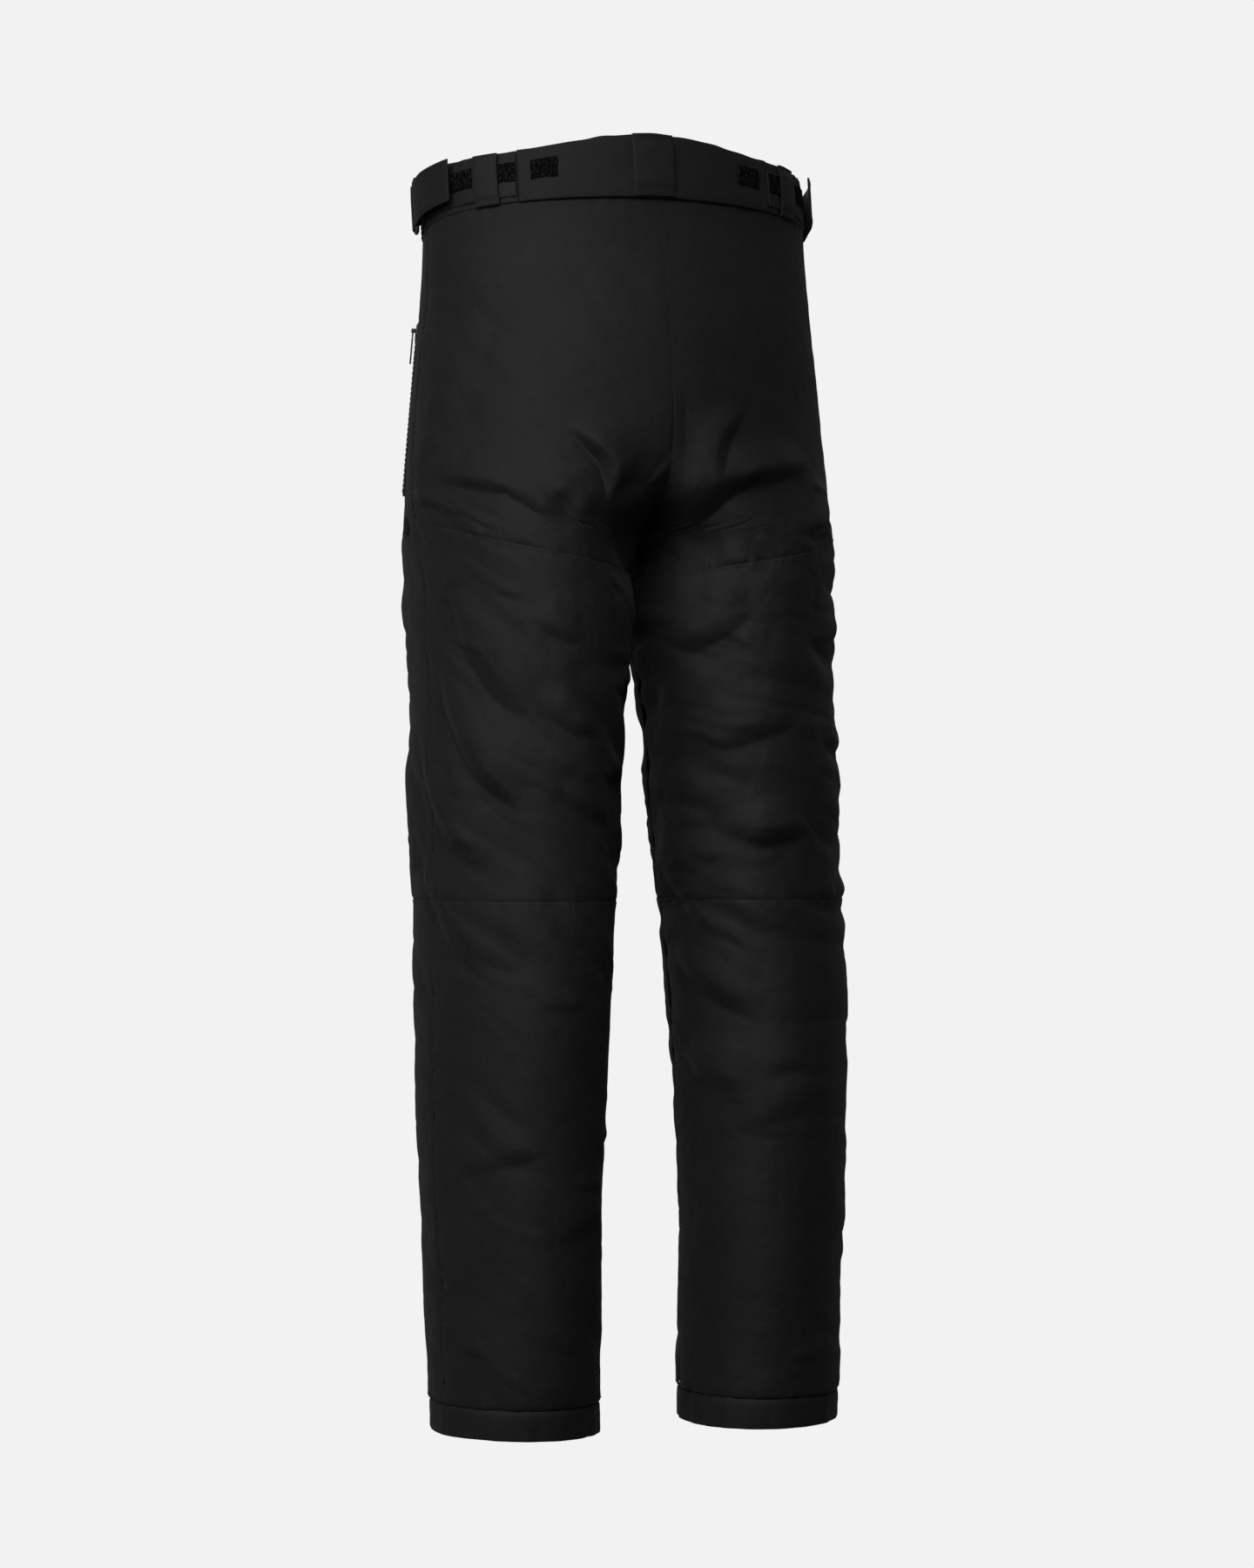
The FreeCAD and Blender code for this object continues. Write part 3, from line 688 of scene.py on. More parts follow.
def fuzzy():
    """Loop tape: a mat of tiny curls."""
    nodes = Nodes("loop_tape")
    curls = nodes.add("ShaderNodeTexVoronoi")
    curls.inputs["Scale"].default_value = 1400.0
    nodes.link(nodes.place, curls.inputs["Vector"])
    rows = nodes.wave(95.0, "X", 4.0)
    height = nodes.math("ADD", curls.outputs["Distance"], nodes.math("MULTIPLY", rows, 0.8))
    # painted glints: bright specks in the base colour stand for light caught by the curls
    painted_glints = nodes.math("POWER", nodes.noise(700.0, 3.0), 2.0)
    nodes.feed(
        Base_Color=nodes.ramp(painted_glints, grey(0.0003), grey(0.05)),
        Normal=nodes.bump(height, 0.9, 0.0008),
        Roughness=nodes.span(curls.outputs["Distance"], 0.85, 1.0),
    )
    nodes.set(Specular_IOR_Level=0.08)
    return nodes.material


def ribbed(name, tone, pitch):
    """Elastic: fine ribs along the band and crimped cross threads."""
    nodes = Nodes(name)
    ribs = nodes.wave(wave_scale(pitch), "Z", 1.0)
    grain = nodes.noise(2500.0, 2.0)
    nodes.feed(
        # painted shade: the colour follows the ribs' height and is darker in their valleys
        Base_Color=nodes.ramp(ribs, grey(tone * 0.5), grey(tone)),
        Normal=nodes.bump(grain, 0.2, 0.0001, nodes.bump(ribs, 0.7, 0.0005)),
        Roughness=nodes.span(grain, 0.7, 0.9),
    )
    nodes.set(Sheen_Weight=0.1)
    return nodes.material


def moulded(name, tone, rough, metallic=0.0):
    """Moulded plastic or coated metal with faint flow marks and rubbed places."""
    nodes = Nodes(name)
    nodes.feed(
        Base_Color=nodes.ramp(nodes.noise(180.0, 4.0), grey(tone * 0.8), grey(tone * 1.3)),
        Roughness=nodes.span(nodes.noise(600.0, 3.0), rough, rough + 0.15),
        Normal=nodes.bump(nodes.noise(900.0, 2.0), 0.15, 0.0001),
    )
    nodes.set(Metallic=metallic)
    return nodes.material


SHELL = woven("shell_cloth", grey(0.0034), grey(0.0090), 0.0006, 0.03, 0.62)
BAND_CLOTH = woven("band_cloth", grey(0.0048), grey(0.0070), 0.0006, 0.03, 0.64)
STRAP_CLOTH = woven("strap_cloth", grey(0.0048), grey(0.0068), 0.0007, 0.03, 0.60)
LINING = woven("lining_taffeta", grey(0.014), grey(0.02), 0.0005, 0.05, 0.45, 0.3)
THREAD = woven("thread", grey(0.0035), grey(0.006), 0.0004, 0.05, 0.5)
LOOP_TAPE = fuzzy()
ELASTIC = ribbed("elastic", 0.02, 0.0015)
PLASTIC = moulded("black_plastic", 0.012, 0.22)
ZIP_METAL = moulded("zip_metal", 0.03, 0.30, 0.8)


# ---- outer cloth --------------------------------------------------------------------------------


def constant(height):
    """A level seam."""
    return lambda angle: height + 0 * np.asarray(angle, float)


def hem_ring(side):
    """The turned-up hem: cloth down to the edge, round it and up inside."""
    columns = int(float(mean_radius(HEM_Z)) * 2 * math.pi / GRID)
    top = HEM_Z + HEM_HEIGHT
    edge = HEM_EDGE_RADIUS
    profile = [(top - HEM_HEIGHT * share, 0.0) for share in np.linspace(0, 0.93, 9)]
    for turn in np.linspace(0, math.pi, 7):
        profile.append((HEM_Z + edge - edge * math.sin(turn), -edge + edge * math.cos(turn)))
    profile += [(HEM_Z + 2 + 17 * share, -2 * edge) for share in np.linspace(0, 1, 5)]
    angle = np.linspace(-math.pi, math.pi, columns, endpoint=False)
    rows = []
    for z, inset in profile:
        height = np.full(columns, z)
        cloth = cloth_offset(side, angle, height) * 0.7
        cloth = cloth + seam_dip(top - z, 2.0)
        cloth = cloth + 0.7 * value_noise(angle * 70 / 9.0, height / 40, 90)
        lift = 0.8 * value_noise(angle * 70 / 45.0, 0 * angle, 91)
        rows.append(surface(side, angle, height + lift * (z < top - 4), cloth + inset))
    points = np.concatenate(rows)
    faces = grid_faces(len(profile), columns, around=True, flip=side == RIGHT)
    made = make_mesh("hem_cloth_" + side, points, faces, SHELL)
    finish_piece(made, "trousers", "shell_fabric", "hem_" + side, fill=CLOTH_FILL)


def outer_cloth():
    """Every panel of the two halves."""
    hem_line = HEM_Z + HEM_HEIGHT
    for side in SIDES:
        back = (
            ("seat", thigh_seam, waist_seam, "seat_panel_"),
            ("thigh", constant(KNEE_Z), thigh_seam, "thigh_back_"),
            ("calf", constant(hem_line), constant(KNEE_Z), "shin_back_"),
        )
        front = (
            ("front", constant(KNEE_Z), waist_seam, "front_panel_"),
            ("shin", constant(hem_line), constant(KNEE_Z), "shin_front_"),
        )
        for way, panels in ((1, back), (-1, front)):
            for name, lower, upper, node in panels:
                panel(f"{name}_cloth_{side}", side, way, lower, upper, node + side)
        hem_ring(side)


# ---- flat pieces laid on curved places ------------------------------------------------------

STITCHES = {}  # for each body, its rows of stitches: their starts, ends and normals
THREAD_RADIUS = 0.3
THREAD_SIDES = 5
# along a stitch: share of its length, share of its thickness and rise
THREAD_RINGS = ((0.0, 0.4, -0.35), (0.18, 1.0, 0.0), (0.82, 1.0, 0.0), (1.0, 0.4, -0.35))


def spaced(start, end, step, radius):
    """Positions from start to end, closer together in the rounded edges."""
    reach = min(radius, (end - start) / 3)
    edge = reach * np.array([0.0, 0.12, 0.45])
    middle = np.linspace(start + reach, end - reach, max(3, int((end - start) / step)))
    return np.concatenate([start + edge, middle, (end - edge)[::-1]])


def slab(name, place, across, up, base, thick, material, scale=1.0, step=2.5, puff=0.0, seed=1):
    """A closed piece of cloth or tape with soft edges, laid on a place.

    place turns positions along and up the piece and an offset out of it into points.
    scale is the length of one of the place's own steps along, such as a degree.
    base is the offset of the piece's underside, or a function that gives it.
    """
    radius = thick * 0.6
    u = spaced(across[0] * scale, across[1] * scale, step, radius)
    v = spaced(up[0], up[1], step, radius)
    along, high = np.meshgrid(u, v)
    edge = np.minimum.reduce([along - u[0], u[-1] - along, high - v[0], v[-1] - high])
    full = 0.5 * np.sqrt(1 - (1 - np.clip(edge / radius, 0, 1)) ** 2)
    swell = puff * smooth_step(edge / 7.0) * (1 + 0.6 * value_noise(along / 9.0, high / 9.0, seed))
    swell = swell + 0.25 * thick * full * value_noise(along / 14.0, high / 11.0, seed + 1)
    low = base(along / scale, high) if callable(base) else base
    outer = place(along / scale, high, low + thick * (0.5 + full) + swell).reshape(-1, 3)
    inner = place(along / scale, high, low + thick * (0.5 - full)).reshape(-1, 3)
    rows, columns = along.shape
    count = rows * columns
    border = (edge <= 1e-9).ravel()
    index = np.where(border, np.arange(count), count + np.cumsum(~border) - 1)
    front = grid_faces(rows, columns)
    faces = np.concatenate([front, index[front][:, ::-1]])
    points = np.concatenate([outer, inner[~border]])
    made = make_mesh(name, points, faces, material)
    outwards(made)
    return made


def copies(faces, points, count):
    """The faces of one small shape, repeated for count shapes of so many points each."""
    return (faces[None] + points * np.arange(count)[:, None, None]).reshape(-1, faces.shape[1])


def outwards(made):
    """Turns every face of a closed mesh to point out of it."""
    work = bmesh.new()
    work.from_mesh(made.data)
    bmesh.ops.recalc_face_normals(work, faces=work.faces)
    work.to_mesh(made.data)
    work.free()


def stitch_row(body, place, start, end, top, length=3.0, gap=1.3):
    """A straight row of stitches on a place, from start to end (along, up)."""
    share = np.linspace(0, 1, 400)
    along = start[0] + (end[0] - start[0]) * share
    high = start[1] + (end[1] - start[1]) * share
    stitch_path(body, place(along, high, top), place(along, high, top + 1.0), length, gap)


def edge_row(place, along, high, base, rise):
    """Stitches up the edge of a piece whose underside is curved, a rise above that underside."""
    flat = np.full(len(high), along)
    top = base(flat, high) + rise
    stitch_path("trousers", place(flat, high, top), place(flat, high, top + 1))


def stitch_path(body, line, above, length=3.0, gap=1.3):
    """A row of stitches along a dense line of points; above is the line, lifted."""
    travelled = travelled_along(line)
    count = int(travelled[-1] / (length + gap))
    middles = (np.arange(count) + 0.5) * (length + gap)

    def at(values, distance):
        return np.stack([np.interp(distance, travelled, values[:, i]) for i in range(3)], -1)

    start, end = at(line, middles - length / 2), at(line, middles + length / 2)
    normal = at(above, middles) - at(line, middles)
    STITCHES.setdefault(body, []).append((start, end, normal))


def sew():
    """Makes the stitches of each body as one mesh of small plump threads."""
    for body, rows in STITCHES.items():
        start, end, normal = [np.concatenate(parts) for parts in zip(*rows)]
        along = end - start
        normal = unit(normal)
        side = unit(np.cross(along, normal))
        rings = []
        for share, size, rise in THREAD_RINGS:
            middle = start + along * share + normal * rise
            for turn in range(THREAD_SIDES):
                angle = turn * 2 * math.pi / THREAD_SIDES
                reach = THREAD_RADIUS * size
                rings.append(middle + reach * (math.cos(angle) * side + math.sin(angle) * normal))
        points = np.stack(rings, 1).reshape(-1, 3)
        one = grid_faces(len(THREAD_RINGS), THREAD_SIDES, around=True)
        faces = copies(one, len(THREAD_RINGS) * THREAD_SIDES, len(start))
        made = make_mesh("stitching_" + body, points, faces, THREAD)
        finish_piece(made, body, "shell_fabric")


# ---- waistband ----------------------------------------------------------------------------------

DEGREE = 2.46  # mean length of one degree round the waistband
BACK_PANEL_END = 41.0
SIDE_PANEL_END = 104.0
BACK_LOOP_HALF = 6.0
SIDE_LOOP = (47.3, 56.7)
FRONT_LOOP = (140.0, 149.0)
PATCHES = ((28.0, 36.5, 1.0), (41.6, 48.5, 1.4), (57.5, 68.0, 1.4))  # with each one's face
STRAP = (41.4, 93.0)
STRAP_UP = (6, 42)
TAB_START = 67.5
BAND_TURN = 2.0  # degrees by which the band sits round towards the wearer's left
RING_ANGLE = 97.0
RING_OFFSET = 5.5
RING_HALF = 6.0  # from the ring's middle to the middle of each upright bar
SLEEVE_RADIUS = 2.5
RIBBON_WIDTH = 36.0
BAND_THICK = 2.4
BAND_UNDER = -1.5  # offset of the outer panels' underside
NEARLY_ROUND = (-179.9, 179.9)


def tilted(y, height):
    """Depth and height of a place on the band, whose plane slants down to the front."""
    back = y * math.cos(BAND_TILT) - height * math.sin(BAND_TILT)
    up = y * math.sin(BAND_TILT) + height * math.cos(BAND_TILT) + BAND_BASE
    return back, up


def on_band(angle, height, offset):
    """Points of the waistband: degrees from the centre back, height and offset."""
    away = np.abs(angle)
    turn = np.radians(angle + BAND_TURN * smooth_step((88 - away) / 34))
    x = (WAIST_HALF_WIDTH + offset) * np.sin(turn)
    y = (WAIST_HALF_DEPTH + offset) * np.cos(turn)
    back, up = tilted(y, height)
    uneven = 0.7 * value_noise(np.asarray(angle) / 5.0, np.zeros(np.shape(angle)), 63)
    up = up + band_rise(away) + (band_stretch(away) + uneven) * height / BAND_HEIGHT
    return np.stack([x, back, up], -1)


def band_side(side):
    """The band's place, mirrored for the wearer's right."""
    return lambda angle, height, offset: on_band(MIRROR[side] * angle, height, offset)


def band_slab(name, side, across, up, base, thick, material, slot, node, puff=0.0, step=2.5):
    """A slab on the waistband, riding with the trousers."""
    made = slab(name, band_side(side), across, up, base, thick, material, DEGREE, step, puff, len(name))
    finish_piece(made, "trousers", slot, node, fill=CLOTH_FILL)


def gathered(angle, height):
    """The side panels' underside: small upright gathers over the elastic."""
    wave = value_noise(angle * DEGREE / 4.2, height / 45.0, 60)
    return -1.5 + 0.55 * wave


def facing_base(angle, height):
    """The facing's underside, with a soft quilted wave."""
    return -4.5 + 0.3 * value_noise(angle * DEGREE / 16.0, height / 18.0, 61)


def waistband():
    """Outer panels, the facing inside and their topstitching."""
    back = (-BACK_PANEL_END, BACK_PANEL_END)
    band_slab("band_back", LEFT, back, (0, BAND_HEIGHT), BAND_UNDER, BAND_THICK, BAND_CLOTH,
              "shell_fabric", "waistband_back", 0.45)
    band_slab("band_facing", LEFT, NEARLY_ROUND, (0.5, BAND_HEIGHT - 0.8), facing_base, 2.9, LINING,
              "lining_fabric", "waistband_facing", 0.0, 3.5)
    for side in SIDES:
        place = band_side(side)
        band_slab("band_side_" + side, side, (BACK_PANEL_END + 0.15, SIDE_PANEL_END - 0.15),
                  (0.4, BAND_HEIGHT - 0.6), gathered, 1.5, BAND_CLOTH, "shell_fabric",
                  "waistband_side_" + side, 0.25, 1.8)
        band_slab("band_front_" + side, side, (SIDE_PANEL_END, 179.8), (0, BAND_HEIGHT), BAND_UNDER,
                  BAND_THICK, BAND_CLOTH, "shell_fabric", "waistband_front_" + side, 0.25)
        for height in (3.0, BAND_HEIGHT - 4.0):
            stitch_row("trousers", place, (SIDE_PANEL_END + 1, height), (178, height), 1.25)
        for angle in (BACK_PANEL_END - 2.2, SIDE_PANEL_END + 2.2):
            stitch_row("trousers", place, (angle, 2), (angle, BAND_HEIGHT - 2), 1.3)


def loop_rise(low, high):
    """The underside of a belt loop, sewn down at both ends."""

    def base(angle, height):
        free = smooth_step((height - low - 4) / 7.0) * smooth_step((high - 4 - height) / 7.0)
        return 1.1 + 1.5 * free

    return base


def belt_loop(name, side, across, up):
    """A flat strap sewn down at its ends, with stitching along both edges."""
    place = band_side(side)
    rise = loop_rise(*up)
    made = slab(name + "_cloth", place, across, up, rise, 1.5, STRAP_CLOTH, DEGREE, 2.0, 0.15, len(name))
    finish_piece(made, "trousers", "shell_fabric", name, fill=CLOTH_FILL)
    low, high = up[0] + 2.0, up[1] - 2.0
    inset = 2.2 / DEGREE
    for angle in (across[0] + inset, across[1] - inset):
        edge_row(place, angle, np.linspace(low, high, 300), rise, 1.6)
    for height in (low, high):
        start, end = (across[0] + 0.6, height), (across[1] - 0.6, height)
        stitch_row("trousers", place, start, end, 2.65, length=2.0, gap=0.3)


def loop_patches(side):
    """Hook-and-loop tape: three pieces with upright rows of loops."""
    for number, (start, end, face) in enumerate(PATCHES):
        piece = slab(f"loop_patch_{side}_{number}", band_side(side), (start, end), (21, 40), face - 0.1,
                     1.3, LOOP_TAPE, DEGREE, 0.9, seed=70 + number)
        roughen(piece, 0.45, 2.3)
        nodes = () if number else ("loop_patches_" + side,)
        finish_piece(piece, "trousers", "hook_and_loop", *nodes, fill=PATCH_FILL)


def roughen(made, size, pitch):
    """Pushes a mesh's points along their normals, in rows that break up into tufts."""
    mesh = made.data
    count = len(mesh.vertices)
    points, normals = np.empty(count * 3), np.empty(count * 3)
    mesh.vertices.foreach_get("co", points)
    mesh.vertices.foreach_get("normal", normals)
    points, normals = points.reshape(-1, 3) / MM, normals.reshape(-1, 3)
    rows = np.sin((points[:, 0] - points[:, 1]) * 2 * math.pi / pitch)
    tufts = value_noise(points[:, 0] * 1.1 + points[:, 1], points[:, 2] * 0.8, 77)
    points = points + normals * (size * (0.5 * rows + tufts))[:, None]
    mesh.vertices.foreach_set("co", (points * MM).ravel())
    mesh.update()


def on_waist(turn, offset):
    """A point of the waist's ellipse, seen along the band's own axis."""
    return np.array([
        (WAIST_HALF_WIDTH + offset) * math.sin(turn), (WAIST_HALF_DEPTH + offset) * math.cos(turn)
    ])


def ring_axes():
    """The ring's middle, its direction along the band towards the front, and outwards."""
    turn = math.radians(RING_ANGLE)
    way = unit(np.array([WAIST_HALF_WIDTH * math.cos(turn), -WAIST_HALF_DEPTH * math.sin(turn)]))
    return on_waist(turn, RING_OFFSET), way, np.array([-way[1], way[0]])


def ring_point(side, along, out, height):
    """A point in the ring's own flat frame, set on the waistband."""
    middle, way, outward = ring_axes()
    flat = middle + np.multiply.outer(along, way) + np.multiply.outer(out, outward)
    back, up = tilted(flat[..., 1], height)
    return np.stack([MIRROR[side] * flat[..., 0], back, up], -1)


def ribbon_place(side, line, edges):
    """A place for a strap that follows a line in the ring's frame.

    edges gives the strap's lower and upper edge at shares of its length; heights on
    this place run from 0 to RIBBON_WIDTH between them.
    """
    line = np.array(line, float)
    travelled = travelled_along(line)
    tangent = unit(np.gradient(line, travelled, axis=0))
    normal = np.stack([-tangent[:, 1], tangent[:, 0]], -1)
    shares, lows, highs = [np.array(column, float) for column in zip(*edges)]

    def place(along, high, offset):
        x, y = [
            np.interp(along, travelled, line[:, i]) + offset * np.interp(along, travelled, normal[:, i])
            for i in range(2)
        ]
        share = along / travelled[-1]
        low, top = np.interp(share, shares, lows), np.interp(share, shares, highs)
        return ring_point(side, x, y, low + (top - low) * high / RIBBON_WIDTH)

    return place, travelled[-1]


def arc(middle, radius, start, end, count=14):
    """Points of an arc round a bar, in degrees."""
    return [
        (middle[0] + radius * math.cos(turn), middle[1] + radius * math.sin(turn))
        for turn in np.radians(np.linspace(start, end, count))
    ]


def band_line(start, end, offset, count=16):
    """Points of the band's curve in the ring's flat frame."""
    middle, way, outward = ring_axes()
    points = [on_waist(turn, offset) - middle for turn in np.radians(np.linspace(start, end, count))]
    return [(point @ way, point @ outward) for point in points]


def adjuster(side):
    """Strap, tab and ring anchor on one side."""
    place = band_side(side)
    band_slab("strap_" + side, side, STRAP, STRAP_UP, -0.1, 1.5, STRAP_CLOTH, "webbing",
              "adjuster_strap_" + side, 0.1, 2.0)
    for height in (STRAP_UP[0] + 2.2, STRAP_UP[1] - 2.2):
        stitch_row("trousers", place, (STRAP[0] + 1, height), (92, height), 1.55)

    rear, fore = (-RING_HALF, 0.0), (RING_HALF, 0.0)
    line = band_line(TAB_START, 91.5, 8.0) + arc(rear, SLEEVE_RADIUS, 85, -150)
    line = line + [(-9.5, 0.2), (-12.5, 0.9), (-16.0, 1.3)]
    edges = ((0.0, 14, 50), (0.50, 11, 48), (0.66, 7, 46), (1.0, 9, 44))
    place, length = ribbon_place(side, line, edges)
    made = slab("tab_cloth_" + side, place, (0, length), (0, RIBBON_WIDTH), -0.85, 1.7, STRAP_CLOTH,
                step=1.4, puff=0.15, seed=81)
    finish_piece(made, "tab_" + side, "webbing", "adjuster_tab_" + side, fill=CLOTH_FILL)
    near, far, low, high = 3, length * 0.52, 2.5, RIBBON_WIDTH - 2.5
    for start, end in (((near, low), (far, low)), ((near, high), (far, high)),
                       ((near, low), (near, high)), ((far, low), (far, high))):
        stitch_row("tab_" + side, place, start, end, 1.0)

    line = [(25, -3.9), (19, -3.8), (13, -3.4)] + arc(fore, SLEEVE_RADIUS, -85, -275)
    line = line + [(9, 2.0), (13, 0.3), (18, -1.6), (25, -2.3)]
    edges = ((0.0, 9, 42), (0.4, 7, 45), (0.7, 7, 45), (1.0, 9, 42))
    place, length = ribbon_place(side, line, edges)
    made = slab("anchor_cloth_" + side, place, (0, length), (0, RIBBON_WIDTH), -0.55, 1.1, STRAP_CLOTH,
                step=1.4, puff=0.1, seed=82)
    finish_piece(made, "trousers", "webbing", "ring_anchor_" + side, fill=CLOTH_FILL)


def closure():
    """The front closure's overlapping tab."""
    made = slab("closure_cloth", on_band, (165, 187), (8, 46), 1.4, 1.9, BAND_CLOTH, DEGREE, 2.0, 0.15, 83)
    finish_piece(made, "closure", "shell_fabric", "closure_tab", fill=CLOTH_FILL)
    for start, end in (((166, 10.5), (186, 10.5)), ((166, 43.5), (186, 43.5)), ((186, 10.5), (186, 43.5))):
        stitch_row("closure", on_band, start, end, 3.45)


def waist_pieces():
    """Everything on the waistband."""
    waistband()
    belt_loop("belt_loop_back", LEFT, (-BACK_LOOP_HALF, BACK_LOOP_HALF), (1.0, BAND_HEIGHT + 0.3))
    closure()
    for side in SIDES:
        belt_loop("belt_loop_side_" + side, side, SIDE_LOOP, (0, BAND_HEIGHT - 0.5))
        belt_loop("belt_loop_front_" + side, side, FRONT_LOOP, (2, BAND_HEIGHT - 2))
        loop_patches(side)
        adjuster(side)


# ---- seams, zips and the layers inside ---------------------------------------------------------------

FLY_TOP = np.array([0.0, -116.6, -78.0])
FLY_BOTTOM = np.array([0.0, -131.8, -205.0])
POCKET_TOP = np.array([163.0, -34.0, -128.0])
POCKET_BOTTOM = np.array([173.0, -42.0, -266.0])
PLACKET_HALF = 21.0
TOOTH_PITCH = 1.5
TOOTH_SIZE = np.array([2.9, 1.05, 1.9])
GAITER_TOP_Z = HEM_Z + 190.0
GAITER_BOTTOM_Z = HEM_Z + 30.0
GAITER_CUFF = 18.0
GAITER_INSET = 7.4  # its upper edge is this far inside the outer cloth
GAITER_GATHER = 1.1  # the gaiter's lower edge is cut this much longer than the boot's round
BOOT_HALF_WIDTH = 50.0
BOOT_HALF_DEPTH = 58.0
SIDE_TAG = (181.4, -8.0, -296.0)


def leg_row(side, way, angle, z, lower, upper):
    """Stitches on a panel along a line of angles and heights."""
    offset = panel_offset(side, way, angle, z, lower, upper) + 0.12
    stitch_path("trousers", surface(side, angle, z, offset), surface(side, angle, z, offset + 1.0))


def across_row(side, way, line, below, lower, upper):
    """Stitches a little below a seam that runs round the leg."""
    share = np.linspace(0.01, 0.99, 600)
    angle = way * share * last_angle(np.full(len(share), float(line(way * 1.5))), way)
    leg_row(side, way, angle, line(angle) - below, lower, upper)


def down_row(side, way, high, low, inset, at_end, lower, upper):
    """Stitches down a panel, a little way in from its side seam or its other edge."""
    z = np.linspace(high, low, 1500)
    arc_angle = inset / mean_radius(z)
    angle = last_angle(z, way) - arc_angle if at_end else arc_angle
    leg_row(side, way, way * angle, z, lower, upper)


def leg_stitches():
    """Topstitching beside every seam of the two halves."""
    hem_top = HEM_Z + HEM_HEIGHT
    knee, hem_line = constant(KNEE_Z), constant(hem_top)
    # from, to, whether on the inner edge, and the panel's lower and upper seams
    back_rows = (
        (-60, -286, False, thigh_seam, waist_seam),
        (-300, KNEE_Z + 2, False, knee, thigh_seam),
        (KNEE_Z - 2, hem_top + 2, False, hem_line, knee),
        (-345, KNEE_Z + 2, True, knee, thigh_seam),
        (KNEE_Z - 2, hem_top + 2, True, hem_line, knee),
    )
    for side in SIDES:
        across_row(side, 1, thigh_seam, 2.6, knee, thigh_seam)
        for way in (1, -1):
            across_row(side, way, knee, 2.6, hem_line, knee)
            across_row(side, way, hem_line, -2.4, hem_line, knee)
        for high, low, at_end, lower, upper in back_rows:
            down_row(side, 1, high, low, 2.8, at_end, lower, upper)
        down_row(side, -1, -215, -285, 2.6, True, knee, waist_seam)
    down_row(RIGHT, 1, -42, -270, 2.6, True, thigh_seam, waist_seam)


def zip_place(top, bottom, outward, mirror):
    """A zip's place: across it, up it from its top, and out of the garment."""
    up = unit(top - bottom)
    out = unit(outward - up * (outward @ up))
    across = np.cross(up, out)

    def place(along, high, offset):
        flat = np.multiply.outer(along, across) + np.multiply.outer(high, up)
        points = top + flat + np.multiply.outer(offset, out)
        return points * np.array([mirror, 1.0, 1.0])

    return place


def zip_teeth(name, place, length):
    """Closed teeth: small blocks from alternate sides, on a narrow coil."""
    count = int(length / TOOTH_PITCH)
    tooth = np.array([(x, y, z) for x in (0, 1) for y in (0, 1) for z in (0, 1)]) * TOOTH_SIZE
    starts = [(-2.4 if i % 2 else -0.5, -length + TOOTH_PITCH * i, -0.9) for i in range(count)]
    points = np.concatenate([np.array(start) + tooth for start in starts])
    box = np.array([(0, 1, 3, 2), (4, 6, 7, 5), (0, 4, 5, 1), (2, 3, 7, 6), (0, 2, 6, 4), (1, 5, 7, 3)])
    faces = copies(box, len(tooth), count)
    made = make_mesh(name, place(points[:, 0], points[:, 1], points[:, 2]), faces, ZIP_METAL, False)
    outwards(made)
    finish_piece(made, "trousers", "zip_metal")


def zip_cloth(name, place, length, node):
    """A zip's tape, its teeth, and the two welts of shell cloth beside them."""
    tape = slab(name + "_tape", place, (-8.5, 8.5), (-length, 5), -0.45, 0.8, STRAP_CLOTH, seed=91)
    finish_piece(tape, "trousers", "webbing", node, fill=CLOTH_FILL)
    zip_teeth(name + "_teeth", place, length - 1)
    for way in (1, -1):
        across = sorted((way * 3.0, way * 10.5))
        welt = slab(f"{name}_welt_{way + 2}", place, across, (-length - 3, 4), -0.6, 1.9, SHELL,
                    step=2.2, puff=0.2, seed=92 + way)
        finish_piece(welt, "trousers", "shell_fabric", fill=CLOTH_FILL)
        stitch_row("trousers", place, (way * 8.2, 3), (way * 8.2, -length - 2), 1.75)


def placket_base(along, high):
    """The placket's underside: down on the cloth at its sewn edge, arched over the zip."""
    left = 0.2 + 5.9 * smooth_step((PLACKET_HALF - along) / 10.0)
    right = 1.6 + 4.5 * smooth_step((PLACKET_HALF + along) / 11.0)
    return np.where(along > 0, left, right) + 0.25 * value_noise(along / 9.0, high / 16.0, 95)


def zips():
    """The fly with its placket, and the two hand pockets."""
    fly = zip_place(FLY_TOP, FLY_BOTTOM, np.array([0.0, -1.0, 0.0]), 1)
    length = float(np.linalg.norm(FLY_TOP - FLY_BOTTOM))
    zip_cloth("fly", fly, length, "fly_zip")
    flap = slab("placket_cloth", fly, (-PLACKET_HALF, PLACKET_HALF), (-length - 8, 0), placket_base,
                1.5, SHELL, puff=0.2, seed=96)
    finish_piece(flap, "trousers", "shell_fabric", "fly_placket", fill=CLOTH_FILL)
    for along in (PLACKET_HALF - 2.5, -PLACKET_HALF + 2.5):
        edge_row(fly, along, np.linspace(-1, -length - 6, 500), placket_base, 1.65)
    length = float(np.linalg.norm(POCKET_TOP - POCKET_BOTTOM))
    for side in SIDES:
        place = zip_place(POCKET_TOP, POCKET_BOTTOM, np.array([1.0, -0.3, 0.0]), MIRROR[side])
        zip_cloth("pocket_" + side, place, length, "pocket_zip_" + side)


def ellipse_round(half_width, half_depth):
    """Length round an ellipse, in millimetres."""
    return math.pi * math.sqrt(2 * (half_width**2 + half_depth**2))


